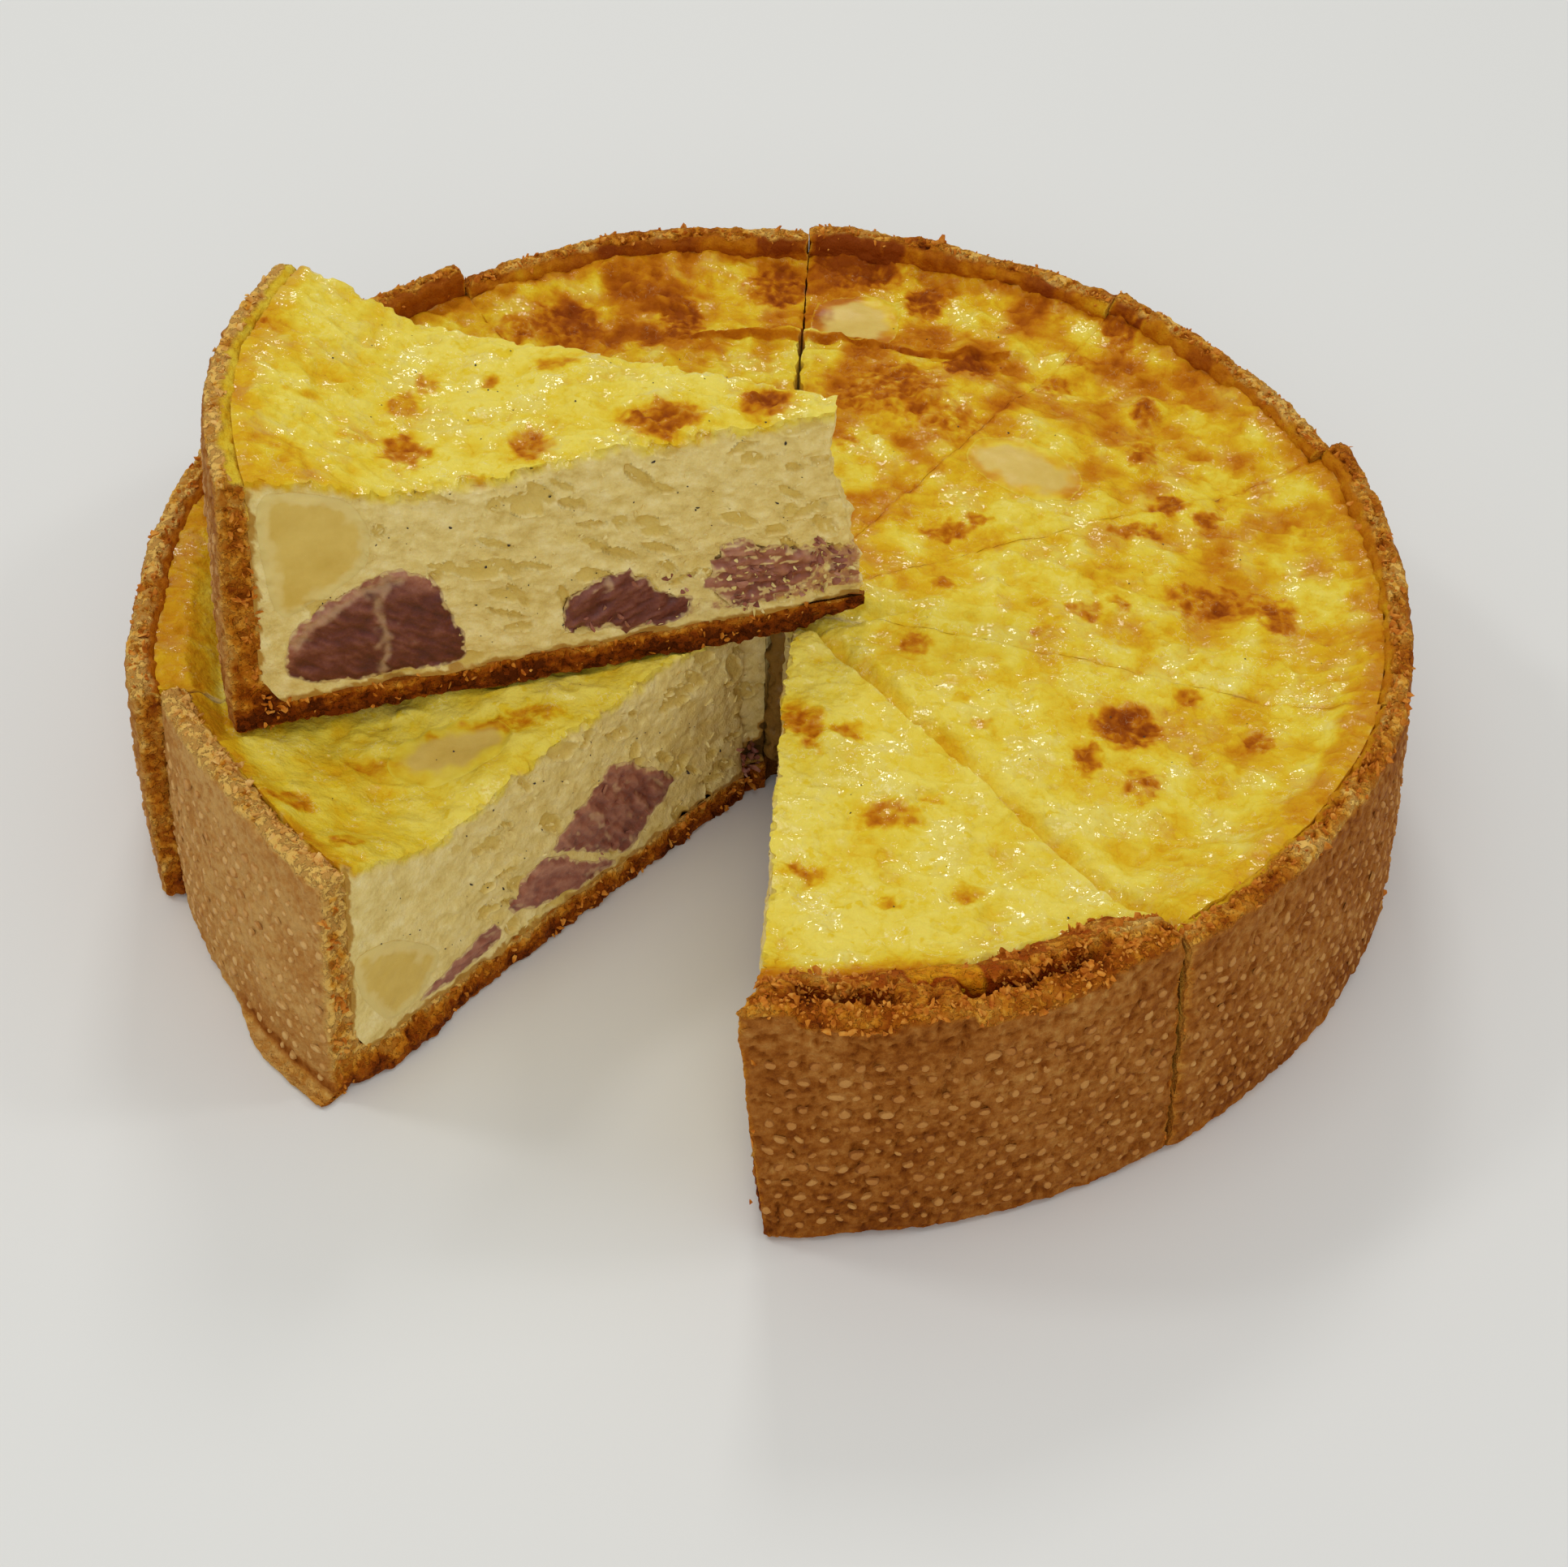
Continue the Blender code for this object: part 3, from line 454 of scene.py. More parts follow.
def make_piece(name, points, faces, marks, materials, lifted=False, sharp=42.0):
    mesh = bpy.data.meshes.new(name)
    mesh.from_pydata(placed(points, lifted).tolist(), [], faces)
    for mark, values in marks.items():
        layer = mesh.attributes.new(mark, "FLOAT", "POINT")
        layer.data.foreach_set("value", np.asarray(values, np.float32))
    mesh.validate()
    outward = bmesh.new()
    outward.from_mesh(mesh)
    bmesh.ops.recalc_face_normals(outward, faces=outward.faces)
    outward.to_mesh(mesh)
    outward.free()
    mesh.polygons.foreach_set("use_smooth", np.ones(len(mesh.polygons), bool))
    mesh.set_sharp_from_angle(angle=math.radians(sharp))
    for material in materials:
        mesh.materials.append(material)
    piece = bpy.data.objects.new(name, mesh)
    bpy.context.scene.collection.objects.link(piece)
    return piece


def filled(outline, spacing, seed, near=None):
    """Points and triangles that fill a closed outline in plan, with the outline's own points first."""
    low, high = outline.min(axis=0), outline.max(axis=0)
    rows = np.arange(low[1], high[1], spacing * 0.87)
    columns = np.arange(low[0], high[0], spacing)
    lattice = np.stack(np.meshgrid(columns, rows), axis=-1)
    lattice[1::2, :, 0] += 0.5 * spacing
    inner = lattice.reshape(-1, 2)
    inner = inner + np.random.default_rng(seed).uniform(-0.12, 0.12, inner.shape) * spacing
    inner = inner[near(inner)] if near else inner[inside_by(inner, outline) > 0.4 * spacing]
    points = np.concatenate([outline, inner])
    result = delaunay_2d_cdt([Vector(p) for p in points], [], [list(range(len(outline)))], 1, 1e-7)
    used = np.array([Vector(p)[:] for p in result[0]])
    return used, [list(face) for face in result[2]]


# ---- one slice
class Wedge:
    """A slice between two cuts, in its own plan: its two faces, its rim and its levels."""

    def __init__(self, label, spec, start, end, level, brown, base=BASE_THICKNESS, lifted=False):
        self.label, self.spec, self.level, self.brown = label, spec, level, brown
        self.base, self.lifted = base, lifted
        self.start_point, self.start_angle = np.asarray(start[0], float), start[1]
        self.end_point, self.end_angle = np.asarray(end[0], float), end[1]
        d_a, d_b = direction(self.start_angle), direction(self.end_angle)
        span = self.end_point - self.start_point
        share = (span[0] * d_b[1] - span[1] * d_b[0]) / (d_a[0] * d_b[1] - d_a[1] * d_b[0])
        self.point = self.start_point + d_a * share
        self.wall = SPLIT_WALL if spec.get("split") else WALL_THICKNESS
        self.rim_length = math.radians(self.end_angle - self.start_angle) * MEAN_RADIUS
        self.top_layer = 80 if lifted else 90
        self.seed = sum(map(ord, label))

    def is_open(self, side):
        return side in self.spec.get("open", "")

    def cut_at(self, side):
        """Letter of the cut at this side; the lifted slice has none."""
        return self.spec.get("start" if side == "s" else "end", "")

    def heading(self, s):
        return direction(mix(self.start_angle, self.end_angle, np.asarray(s, float)))

    def outer_radius(self, s, z):
        return mix(through(self.spec["base"], s), through(self.spec["rim"], s), z / self.spec["height"])

    def reach(self, s, radius):
        """Distance from the slice's own point to this radius about the quiche's middle."""
        along = self.heading(s) @ self.point
        return -along + np.sqrt(along ** 2 - self.point @ self.point + radius ** 2)

    def custard_reach(self, s, z):
        """Distance from the slice's own point to where its custard ends, a little inside the wall."""
        return self.reach(s, self.outer_radius(s, z) - self.wall + CUSTARD_OVERLAP)

    def tip_reach(self, z):
        """Distance from the slice's own point to where its custard starts."""
        return np.interp(z, TIP_HEIGHTS, TIP_REACH) if self.lifted else np.full(np.shape(z), 2.2)

    def top_at(self, x, y):
        """Main form of the custard's top, which stays under the lifted slice."""
        level = self.level(x, y)
        return level if self.lifted else np.minimum(level, bearing_level(x, y))

    def near(self, s, distance, z):
        flat = self.point + self.heading(s) * np.asarray(distance)[..., None]
        return flat3(flat[..., 0], flat[..., 1], z)

    def s_of(self, x, y):
        angle = np.degrees(np.arctan2(y - self.point[1], x - self.point[0]))
        turn = (angle - self.start_angle + 180.0) % 360.0 - 180.0
        return turn / (self.end_angle - self.start_angle)

    def face_frame(self, side):
        """Point, direction and outward direction in plan of the cut face at this side."""
        if side == "s":
            return self.start_point, direction(self.start_angle), -across(self.start_angle)
        return self.end_point, direction(self.end_angle), across(self.end_angle)

    def face_spot(self, side, u, z, out):
        """Place at a distance along the cut face at this side, at a height, and this far out of it."""
        point, along, outward = self.face_frame(side)
        return np.array((*(point + along * u + outward * out), z))

    def face_place(self, side, points):
        """Distance along the cut face at this side, and depth behind it, of each point."""
        point, along, outward = self.face_frame(side)
        rel = points[:, :2] - point
        return rel @ along, -(rel @ outward)

    def pushed(self, points, reliefs):
        """Points moved along each cut face's outward direction by that face's relief, fading into the slice."""
        moved, falloff = points.copy(), self.spec.get("soft_edge", 2.6)
        for side, relief in reliefs.items():
            along, depth = self.face_place(side, points)
            close = depth < falloff
            amount = relief(along[close], points[close, 2]) * ease(falloff, 0.0, depth[close])
            moved[close, :2] += self.face_frame(side)[2] * amount[:, None]
        return moved


# ---- reliefs of the cut faces
def curd_relief(seed, top, tilt, pieces=(), smooth_beyond=999.0, start=0.0):
    """Relief of cut custard: layers that tilt, small torn holes, and room for the pieces that show in it.

    top gives the height of the face's upper edge at a distance along it."""
    draw = np.random.default_rng(seed)
    dents = 80
    holes = np.stack([draw.uniform(4, 114, dents), draw.uniform(8, 50, dents),
                      draw.uniform(1.3, 4.6, dents), draw.uniform(0.7, 1.9, dents),
                      draw.normal(tilt, 22, dents), draw.uniform(0.3, 0.9, dents)], axis=1)
    sinks = {"ham": 1.3, "potato": 0.8}
    outlines = [(smooth_line(piece["outline"], 2.0), sinks[piece["kind"]]) for piece in pieces]
    lean, rise = math.cos(math.radians(tilt)), math.sin(math.radians(tilt))

    def holes_at(u, z):
        """How near each point is to the middle of a hole, under 1 inside it, and how deep that hole is."""
        nearest, depth = np.full(len(u), 9.0), np.zeros(len(u))
        place = flat3(u, z, seed)
        u, z = u + 0.35 * ripple(place, 1.8, 53), z + 0.35 * ripple(place, 1.8, 54)
        for hole_u, hole_z, half, thin, turn, deep in holes:
            du, dz = u - hole_u, z - hole_z
            c, s = math.cos(math.radians(turn)), math.sin(math.radians(turn))
            away = ((du * c + dz * s) / half) ** 2 + ((-du * s + dz * c) / thin) ** 2
            nearer = away < nearest
            nearest[nearer], depth[nearer] = away[nearer], deep
        return nearest, depth

    def relief(u, z):
        u = u - start
        place = flat3(u, z, seed)
        layers = flat3((u * lean + z * rise) / 2.6, -u * rise + z * lean, seed)
        calm = 1.0 - 0.65 * ease(smooth_beyond, smooth_beyond + 14.0, u)
        curds = 0.5 * rough(layers, 4.6, 51, 3) - 0.3 * ease(0.15, 0.6, ripple(layers, 2.4, 52))
        curds += 0.16 * rough(place, 1.9, 55, 2)
        away, deep = holes_at(u, z)
        curds -= deep * ease(1.1, 0.6, away) - 0.28 * ease(0.9, 1.15, away) * ease(2.0, 1.3, away)
        amount = 0.35 * rough(place, 11.0, 50, 2) + calm * curds
        return amount - 1.1 * ease(3.2, 0.3, top(u + start) - z) * ease(-0.1, 0.5, rough(place, 2.6, 56, 2))

    def sunk(u, z):
        amount = relief(u, z)
        for outline, sink in outlines:
            amount = amount - sink * ease(0.5, 1.1, inside_by(np.stack([u - start, z], 1), outline))
        return amount

    def hollow(u, z):
        """How far into a hole or a wet patch each point is, for its colour."""
        u = u - start
        calm = 1.0 - 0.8 * ease(smooth_beyond, smooth_beyond + 14.0, u)
        wet = 0.5 * ease(0.2, 0.6, rough(flat3(u, 1.6 * z, seed), 6.0, 57, 3))
        return calm * np.maximum(ease(1.15, 0.7, holes_at(u, z)[0]), wet)

    sunk.hollow, sunk.plain = hollow, relief
    return sunk


def crumb_relief(seed, bulge, calm=0.0):
    """Relief of cut or broken crust: packed crumbs, and where the foot's crumbs hang out.

    calm is how much smoother it is near the outer wall."""
    def relief(u, z):
        place = flat3(u, z, seed)
        pits = ease(0.2, 0.7, ripple(place, 1.7, 62))
        crumbs = 0.6 * rough(place, 5.0, 60, 3) + 0.6 * (grains(place, 1.5, 61) - 0.4) - 0.6 * pits
        return crumbs * (1.0 - calm * ease(114.0, 124.0, u) * ease(56.0, 52.0, z)) + bulge(u, z)
    return relief


def seam_relief(seed, gap, waver=0.0, outer=999.0, parting=0.0, open_from=50.5):
    """A shut cut: its two faces meet, waver a little near the top, and part at the outer wall and the top."""
    def relief(u, z):
        place = flat3(u, z, seed)
        rise = 51.5 + 8.0 * ease(108.0, 121.0, u)
        sway = 0.5 * ripple(place, 9.0, 70) + 0.35 * ripple(place, 2.5, 71) - 0.5
        shut = gap + waver * ease(rise - 5.0, rise, z) * sway
        apart = np.maximum(ease(outer - 3.0, outer - 0.4, u), 0.8 * ease(open_from, 53.5, z))
        return shut - parting * apart * np.maximum(0.0, 0.35 + 0.6 * rough(place, 3.4, 72, 3))
    return relief


# ---- custard
def custard_fine(x, y, brown, layer):
    """Fine relief of the baked top: soft curd bumps, dimples, folds, and blisters where it is brown."""
    place = flat3(x, y)
    stretched = flat3(x + 0.4 * y, 1.6 * y)
    azimuth = np.degrees(np.arctan2(y, x)) % 360.0
    soft = ease(190.0, 200.0, azimuth) * ease(236.0, 229.0, azimuth) * (layer == 90)
    bumps = 0.7 * rough(place, 10.0, layer + 6, 2) + 0.45 * soft * rough(place, 7.0, layer + 9, 2)
    curds = 0.42 * rough(stretched, 4.6, layer, 2) + 0.16 * rough(place, 1.9, layer + 1, 2)
    bumps += (1.0 - 0.6 * soft) * curds
    pits = -0.5 * ease(0.3, 0.8, ripple(place, 2.4, layer + 2))
    pits *= ease(0.0, 0.7, ripple(place, 13.0, layer + 3) + 0.3)
    folds = 0.5 * ease(0.3, 0.0, np.abs(ripple(stretched, 11.0, layer + 7)))
    folds *= ease(0.0, 0.5, ripple(place, 21.0, layer + 8))
    blisters = 0.5 * (grains(place, 1.9, layer + 4) - 0.2) + 0.5 * rough(place, 3.0, layer + 5, 3)
    return bumps + pits + folds + ease(0.36, 0.8, brown) * blisters


def custard_skin(wedge):
    """The custard's two cut faces, the main form of its top, and its hidden sides."""
    gap = POINT_SPACING
    count, rows = int(122.0 / gap), max(6, int(46.0 / gap))
    rim_count = int(math.radians(wedge.end_angle - wedge.start_angle) * 123.0 / gap)
    share = np.linspace(0.0, 1.0, count)
    tip_s = np.linspace(0, 1, 9 if wedge.lifted else 3)
    skin = Skin("top", "cut")
    edges, feet, tips, walls = {}, {}, {}, {}
    for side, s in (("s", 0.0), ("e", 1.0)):
        here = np.full(count, s)
        z_top = np.full(count, 52.0)
        for _ in range(4):
            u = mix(wedge.tip_reach(z_top), wedge.custard_reach(s, z_top), share)
            z_top = wedge.top_at(*wedge.near(here, u, 0.0)[:, :2].T)
        edges[side] = wedge.near(here, u, z_top)
        rise = np.linspace(0, 1, rows) if wedge.is_open(side) else np.array((0.0, 0.8, 1.0))
        far = wedge.custard_reach(s, np.array([30.0]))[0]
        foot = wedge.base - 0.3 + 6.0 * ease(far - 6.5, far, mix(2.2, far, share)) ** 2
        z = mix(foot[None], z_top[None], rise[:, None])
        distance = mix(wedge.tip_reach(z), wedge.custard_reach(s, z), share[None])
        face = wedge.near(np.full(z.shape, s), distance, z)
        face[-1] = edges[side]
        feet[side], tips[side], walls[side] = face[0], face[:, 0], face[:, -1]
        skin.grid(face, cut=1.0)
    # the top, inside a ring of the two edges, the rim and the tip
    arc_s = np.linspace(0, 1, rim_count)
    z = np.full(rim_count, 52.0)
    for _ in range(4):
        flat = wedge.near(arc_s, wedge.custard_reach(arc_s, z), 0.0)
        z = wedge.top_at(flat[:, 0], flat[:, 1])
    arc = flat3(flat[:, 0], flat[:, 1], z)
    tip_arc = mix(edges["s"][0], edges["e"][0], tip_s[:, None])
    ring = np.concatenate([edges["s"], arc[1:-1], edges["e"][::-1], tip_arc[1:-1][::-1]])
    tip_ends = [np.linalg.norm(edges[side][0, :2] - wedge.point) for side in "se"]

    def inner(points):
        d_s, d_e = direction(wedge.start_angle), direction(wedge.end_angle)
        rel_s, rel_e = points - wedge.start_point, points - wedge.end_point
        left = d_s[0] * rel_s[:, 1] - d_s[1] * rel_s[:, 0]
        right = -(d_e[0] * rel_e[:, 1] - d_e[1] * rel_e[:, 0])
        s = np.clip(wedge.s_of(points[:, 0], points[:, 1]), 0, 1)
        far = np.linalg.norm(points - wedge.point, axis=1)
        at_rim = wedge.custard_reach(s, 52.0) - far - 0.5
        at_tip = far - np.interp(s, (0, 1), tip_ends) - 0.3
        return np.minimum.reduce([left, right, at_rim, at_tip]) > 0.45 * gap

    flat, triangles = filled(ring[:, :2], gap, wedge.seed, inner)
    top = flat3(flat[:, 0], flat[:, 1], wedge.top_at(flat[:, 0], flat[:, 1]))
    top[:len(ring)] = ring
    skin.add(top, triangles, top=1.0)
    # the point
    even_tips = len(tips["s"]) == len(tips["e"])
    if even_tips:
        skin.grid(mix(tips["s"][:, None], tips["e"][:, None], tip_s[None, :, None]), cut=1.0)
    else:
        skin.polygon(np.concatenate([tips["s"], tip_arc[1:-1], tips["e"][::-1]]), cut=1.0)
    # the wall and the foot
    low = wedge.base + 5.7
    wall_foot = wedge.near(arc_s, wedge.custard_reach(arc_s, np.full(rim_count, low)), low)
    wall_foot[0], wall_foot[-1] = feet["s"][-1], feet["e"][-1]
    arc[0], arc[-1] = edges["s"][-1], edges["e"][-1]
    k, n_s, n_e = rim_count, len(walls["s"]), len(walls["e"])
    strips = [[i, i + 1, k + i + 1, k + i] for i in range(1, k - 2)]
    strips.append([*range(2 * k, 2 * k + n_s), k + 1, 1])
    strips.append([*range(2 * k + n_s, 2 * k + n_s + n_e), 2 * k - 2, k - 2])
    skin.add(np.concatenate([wall_foot, arc, walls["s"], walls["e"]]), strips, cut=1.0)
    under = np.concatenate([feet["s"], wall_foot[1:-1], feet["e"][::-1]])
    if even_tips:
        under = np.concatenate([under, mix(feet["s"][0], feet["e"][0], tip_s[:, None])[1:-1][::-1]])
    skin.polygon(under, cut=1.0)
    return skin


def soaked_custard(wedge, points, cut):
    """How wet and dark cut custard is: wet at the crust, and painted shade round the middle and near the tip
    beside the gap.
    """
    x, y, z = points.T
    beside = wedge.custard_reach(np.clip(wedge.s_of(x, y), 0, 1), z)
    beside = beside - np.linalg.norm(points[:, :2] - wedge.point, axis=1)
    soaked = ease(1.5, 0.3, np.minimum(z - wedge.base, 0.8 * beside) + 0.9 * rough(points, 3.4, 98, 3)) * cut
    if wedge.lifted:
        return soaked
    # Painted shade round the middle, at the back of the open gap.
    away = np.hypot(x, y) - 6.0 - 6.0 * ease(26.0, 10.0, z) + 3.0 * rough(points, 5.0, 143, 3)
    soaked = np.maximum(soaked, 2.0 * ease(0.0, -3.0, away) * cut)
    # Painted shadow on bc's open face near its tip, beside the gap.
    if wedge.label == "bc":
        along, depth = wedge.face_place("s", points)
        end = ease(40.0, 24.0, along + 6.0 * rough(points, 6.0, 146, 3)) * (np.abs(depth) < 2.5)
        soaked = np.maximum(soaked, 1.2 * end * ease(51.0, 47.0, z) * cut)
    return soaked


def ham_blush(wedge, points):
    """How far ham has stained the custard beside it in the lifted slice's open face."""
    (u, depth), z = wedge.face_place("e", points), points[:, 2]
    near_tip = ease(1.0, 4.0, u) * ease(31.0, 22.0, u) * ease(8.0, 9.5, z) * ease(22.0, 18.5, z)
    between = 0.55 * ease(26.0, 31.0, u) * ease(48.0, 42.0, u) * ease(8.0, 9.0, z) * ease(14.0, 11.5, z)
    return (np.abs(depth) < 2.5) * np.maximum(near_tip, between)


def build_custard(wedge, reliefs, materials, top_outlines):
    points, marks, faces = custard_skin(wedge).welded()
    x, y, z = points.T                          # views: they follow the points as these move
    brown = wedge.brown(x, y)
    depth_below = wedge.level(x, y) - z
    shape = custard_fine(x, y, brown, wedge.top_layer)
    # Painted shade and light: the top is browner in the hollows of its fine relief and paler on its bumps, partly
    # amber that pools in the hollows and partly painted shading of the relief.
    brown = np.clip(brown - 0.11 * np.clip(shape, -1.0, 1.0), 0, 1)
    for outline in top_outlines:
        shape -= ease(0.2, 1.2, inside_by(points[:, :2], outline))
    if wedge.spec.get("split"):
        s = wedge.s_of(x, y)
        at_rim = ease(107.0, 113.5, np.hypot(x, y) + 1.5 * rough(flat3(x, y), 6.0, 145, 3))
        brown = np.clip(brown + 0.55 * at_rim * ease(0.6, 0.35, s), 0, 1)
        shape -= 2.0 * ease(112.5, 115.5, np.hypot(x, y)) * ease(0.02, 0.09, s) * ease(0.99, 0.94, s)
    for side in "se":
        depth = wedge.face_place(side, points)[1]
        shut = GROOVES.get(wedge.cut_at(side), SHUT_CUT)[side == "s"]
        deep, wide = OPEN_EDGE if wedge.is_open(side) else shut
        shape -= deep * ease(wide, 0.0, depth)
        # Painted shade: a wide groove's sloping side is browner, as if in shade.
        if wide > 3.0:
            brown = np.clip(brown + 0.14 * ease(0.85 * wide, 0.3 * wide, depth) * marks["top"], 0, 1)
    points[:, 2] += shape * np.where(marks["top"] > 0, 1.0, ease(5.0, 0.0, depth_below))
    if wedge.lifted:
        torn = 0.9 * rough(points, 5.0, 95) + 0.5 * rough(points, 1.9, 96)
        points[:, 0] += ease(16.0, 4.0, np.hypot(x, y)) * (marks["cut"] > 0) * torn * (z > 7.5)
    else:
        points[:, 2] = np.minimum(z, bearing_level(x, y) + 0.18)
    cut = np.clip(marks["cut"] * 2, 0, 1) * ease(0.0, 2.6, depth_below + 1.3 * rough(points, 4.0, 97, 3) - 0.2)
    hollow = np.zeros(len(points))
    for side in "se":
        along, depth = wedge.face_place(side, points)
        if wedge.is_open(side):
            at_face = np.abs(depth) < 0.05
            hollow[at_face] = reliefs[side].hollow(along[at_face], z[at_face])
        elif wedge.cut_at(side) in BROWN_LINES:
            line = ease(0.8, 0.1, depth) * ease(-0.5, 0.3, rough(flat3(x, y), 14.0, 142, 2))
            brown = np.clip(brown + 0.2 * line * marks["top"], 0, 1)
    blush = ham_blush(wedge, points) if wedge.lifted else np.zeros(len(points))
    looks = {"brown": brown, "cut": cut, "hollow": hollow * cut, "soaked": soaked_custard(wedge, points, cut),
             "blush": blush * cut}
    points = wedge.pushed(points, reliefs)
    return make_piece("curd_" + wedge.label, points, faces, looks, materials, wedge.lifted)


# ---- crust
def crust_profile(wedge):
    """Key points along the crust's outside, inward distance and height, for a plain and for a split rim."""
    height, w = wedge.spec["height"], wedge.wall / WALL_THICKNESS
    crown = height - (1.0 if wedge.lifted else 0.0)
    wall = [(2.8, 0.0), (1.3, 0.0), (0.1, 1.2), (0.0, 4.0), (-0.3, 14.0), (-0.4, 26.0), (-0.2, height - 14.0)]
    plain = wall + [(0.0, height - 6.0), (0.1, crown - 2.2), (0.6, crown - 0.7), (1.6 * w, crown - 0.1),
                    (3.0 * w, crown + 0.1), (4.2 * w, crown - 0.3), (5.2 * w, crown - 0.9), (6.0 * w, crown - 1.8),
                    (6.4 * w, crown - 3.2), (6.5 * w, height - 6.0), (6.5 * w, height - 14.0)]
    split = wall + [(0.0, height - 6.5), (0.1, height - 3.4), (0.5, height - 2.0), (2.6, height - 1.4),
                    (4.7, height - 1.2), (4.9, height - 6.4), (7.6, height - 6.2), (8.2, height - 1.3),
                    (8.8, height - 0.6), (13.6, height - 3.0), (13.2, height - 5.0)]
    return np.array(plain, float), np.array(split, float)


def torn_rim(wedge, s, plain, split, openness):
    """Section keys of the rim that is torn open: it spreads inwards over the custard."""
    height = wedge.spec["height"]
    plain = np.repeat(plain[None], len(s), axis=0)
    split = np.repeat(split[None], len(s), axis=0)
    spread = ease(0.0, 0.09, s) * ease(1.0, 0.93, s)
    inner = 15.6 + 1.3 * ripple(flat3(s * 90.0, 0.0), 11.0, 132)
    flat = wedge.near(s, wedge.reach(s, wedge.outer_radius(s, height) - inner), 0.0)
    level = wedge.level(flat[:, 0], flat[:, 1])
    wide = plain.copy()
    for key, share, above in ((14, 0.74, 2.4), (15, 0.9, 1.3), (16, 1.0, 0.45), (17, 1.0, -1.8)):
        wide[:, key, 0], wide[:, key, 1] = inner * share, level + above
    wide[:, 13, 0], wide[:, 13, 1] = inner * 0.58, mix(level + 1.8, height, 0.6)
    wide[:, 11, 0], wide[:, 12, 0] = 4.2, 6.4
    split[:, 15, 0], split[:, 15, 1] = inner * 0.68, mix(level + 2.0, height, 0.7)
    split[:, 16, 0], split[:, 16, 1] = inner, level + 0.45
    split[:, 17, 0], split[:, 17, 1] = inner, level - 1.8
    return mix(mix(plain, wide, spread[:, None, None]), split, openness)


def split_along(wedge, s):
    """How open the rim's crack is along a slice, from 0 to 1."""
    if not wedge.spec.get("split"):
        return np.zeros(np.shape(s))
    left = ease(0.07, 0.12, s) * ease(0.335, 0.29, s)
    right = ease(0.46, 0.50, s) * ease(0.83, 0.79, s)
    return np.maximum(left, right)


def dense_line(keys, counts):
    """Smooth line through key points (..., k, 2), with counts steps in each stretch."""
    line = []
    last = keys.shape[-2] - 1
    for i, steps in enumerate(counts):
        near = [keys[..., min(max(i + k, 0), last), :] for k in (-1, 0, 1, 2)]
        line += [curve(*near, t) for t in np.arange(steps) / steps]
    line.append(keys[..., last, :])
    return np.stack(line, axis=-2)


def crust_lines(wedge, s, openness):
    """Inward distance and height of the crust's outside, (sections, steps, 2), and how far each step is
    along the profile, counted in key points."""
    spec, (plain, split) = wedge.spec, crust_profile(wedge)
    longest = np.maximum(np.linalg.norm(np.diff(plain, axis=0), axis=1),
                         np.linalg.norm(np.diff(split, axis=0), axis=1) * 0.8)
    counts = np.maximum(1, np.round(longest / POINT_SPACING)).astype(int)
    keys = np.repeat(plain[None], len(s), axis=0)
    if spec.get("split"):
        keys = torn_rim(wedge, s, plain, split, openness)
    if spec.get("foot"):
        flare = spec["foot"] * ease(0.45, 0.75, s)
        keys[:, 1:3, 0] -= flare[:, None]
        keys[:, 3, 1] -= 2.0 * flare / spec["foot"]
    line = dense_line(keys, counts)
    key_at = np.append(np.repeat(np.arange(len(counts)), counts), len(counts) - 1)
    if spec.get("split"):
        torn = flat3(s * wedge.rim_length, 0.0)
        sway = (0.55 * rough(torn, 5.0, 113, 3) + 0.25 * ripple(torn, 1.3, 114))[:, None]
        rise = (0.5 * rough(torn, 4.0, 115, 3) + 0.3 * ripple(torn, 1.4, 116))[:, None]
        near_lip, near_crest = np.isin(key_at, (8, 9, 10)), np.isin(key_at, (13, 14))
        line[..., 0] += 1.4 * sway * np.isin(key_at, (10, 11, 12, 13)) * openness[..., 0]
        line[..., 1] += rise * (near_lip - 0.6 * near_crest) * openness[..., 0]
    return line, key_at + np.concatenate([np.arange(c) / c for c in counts] + [[1.0]])


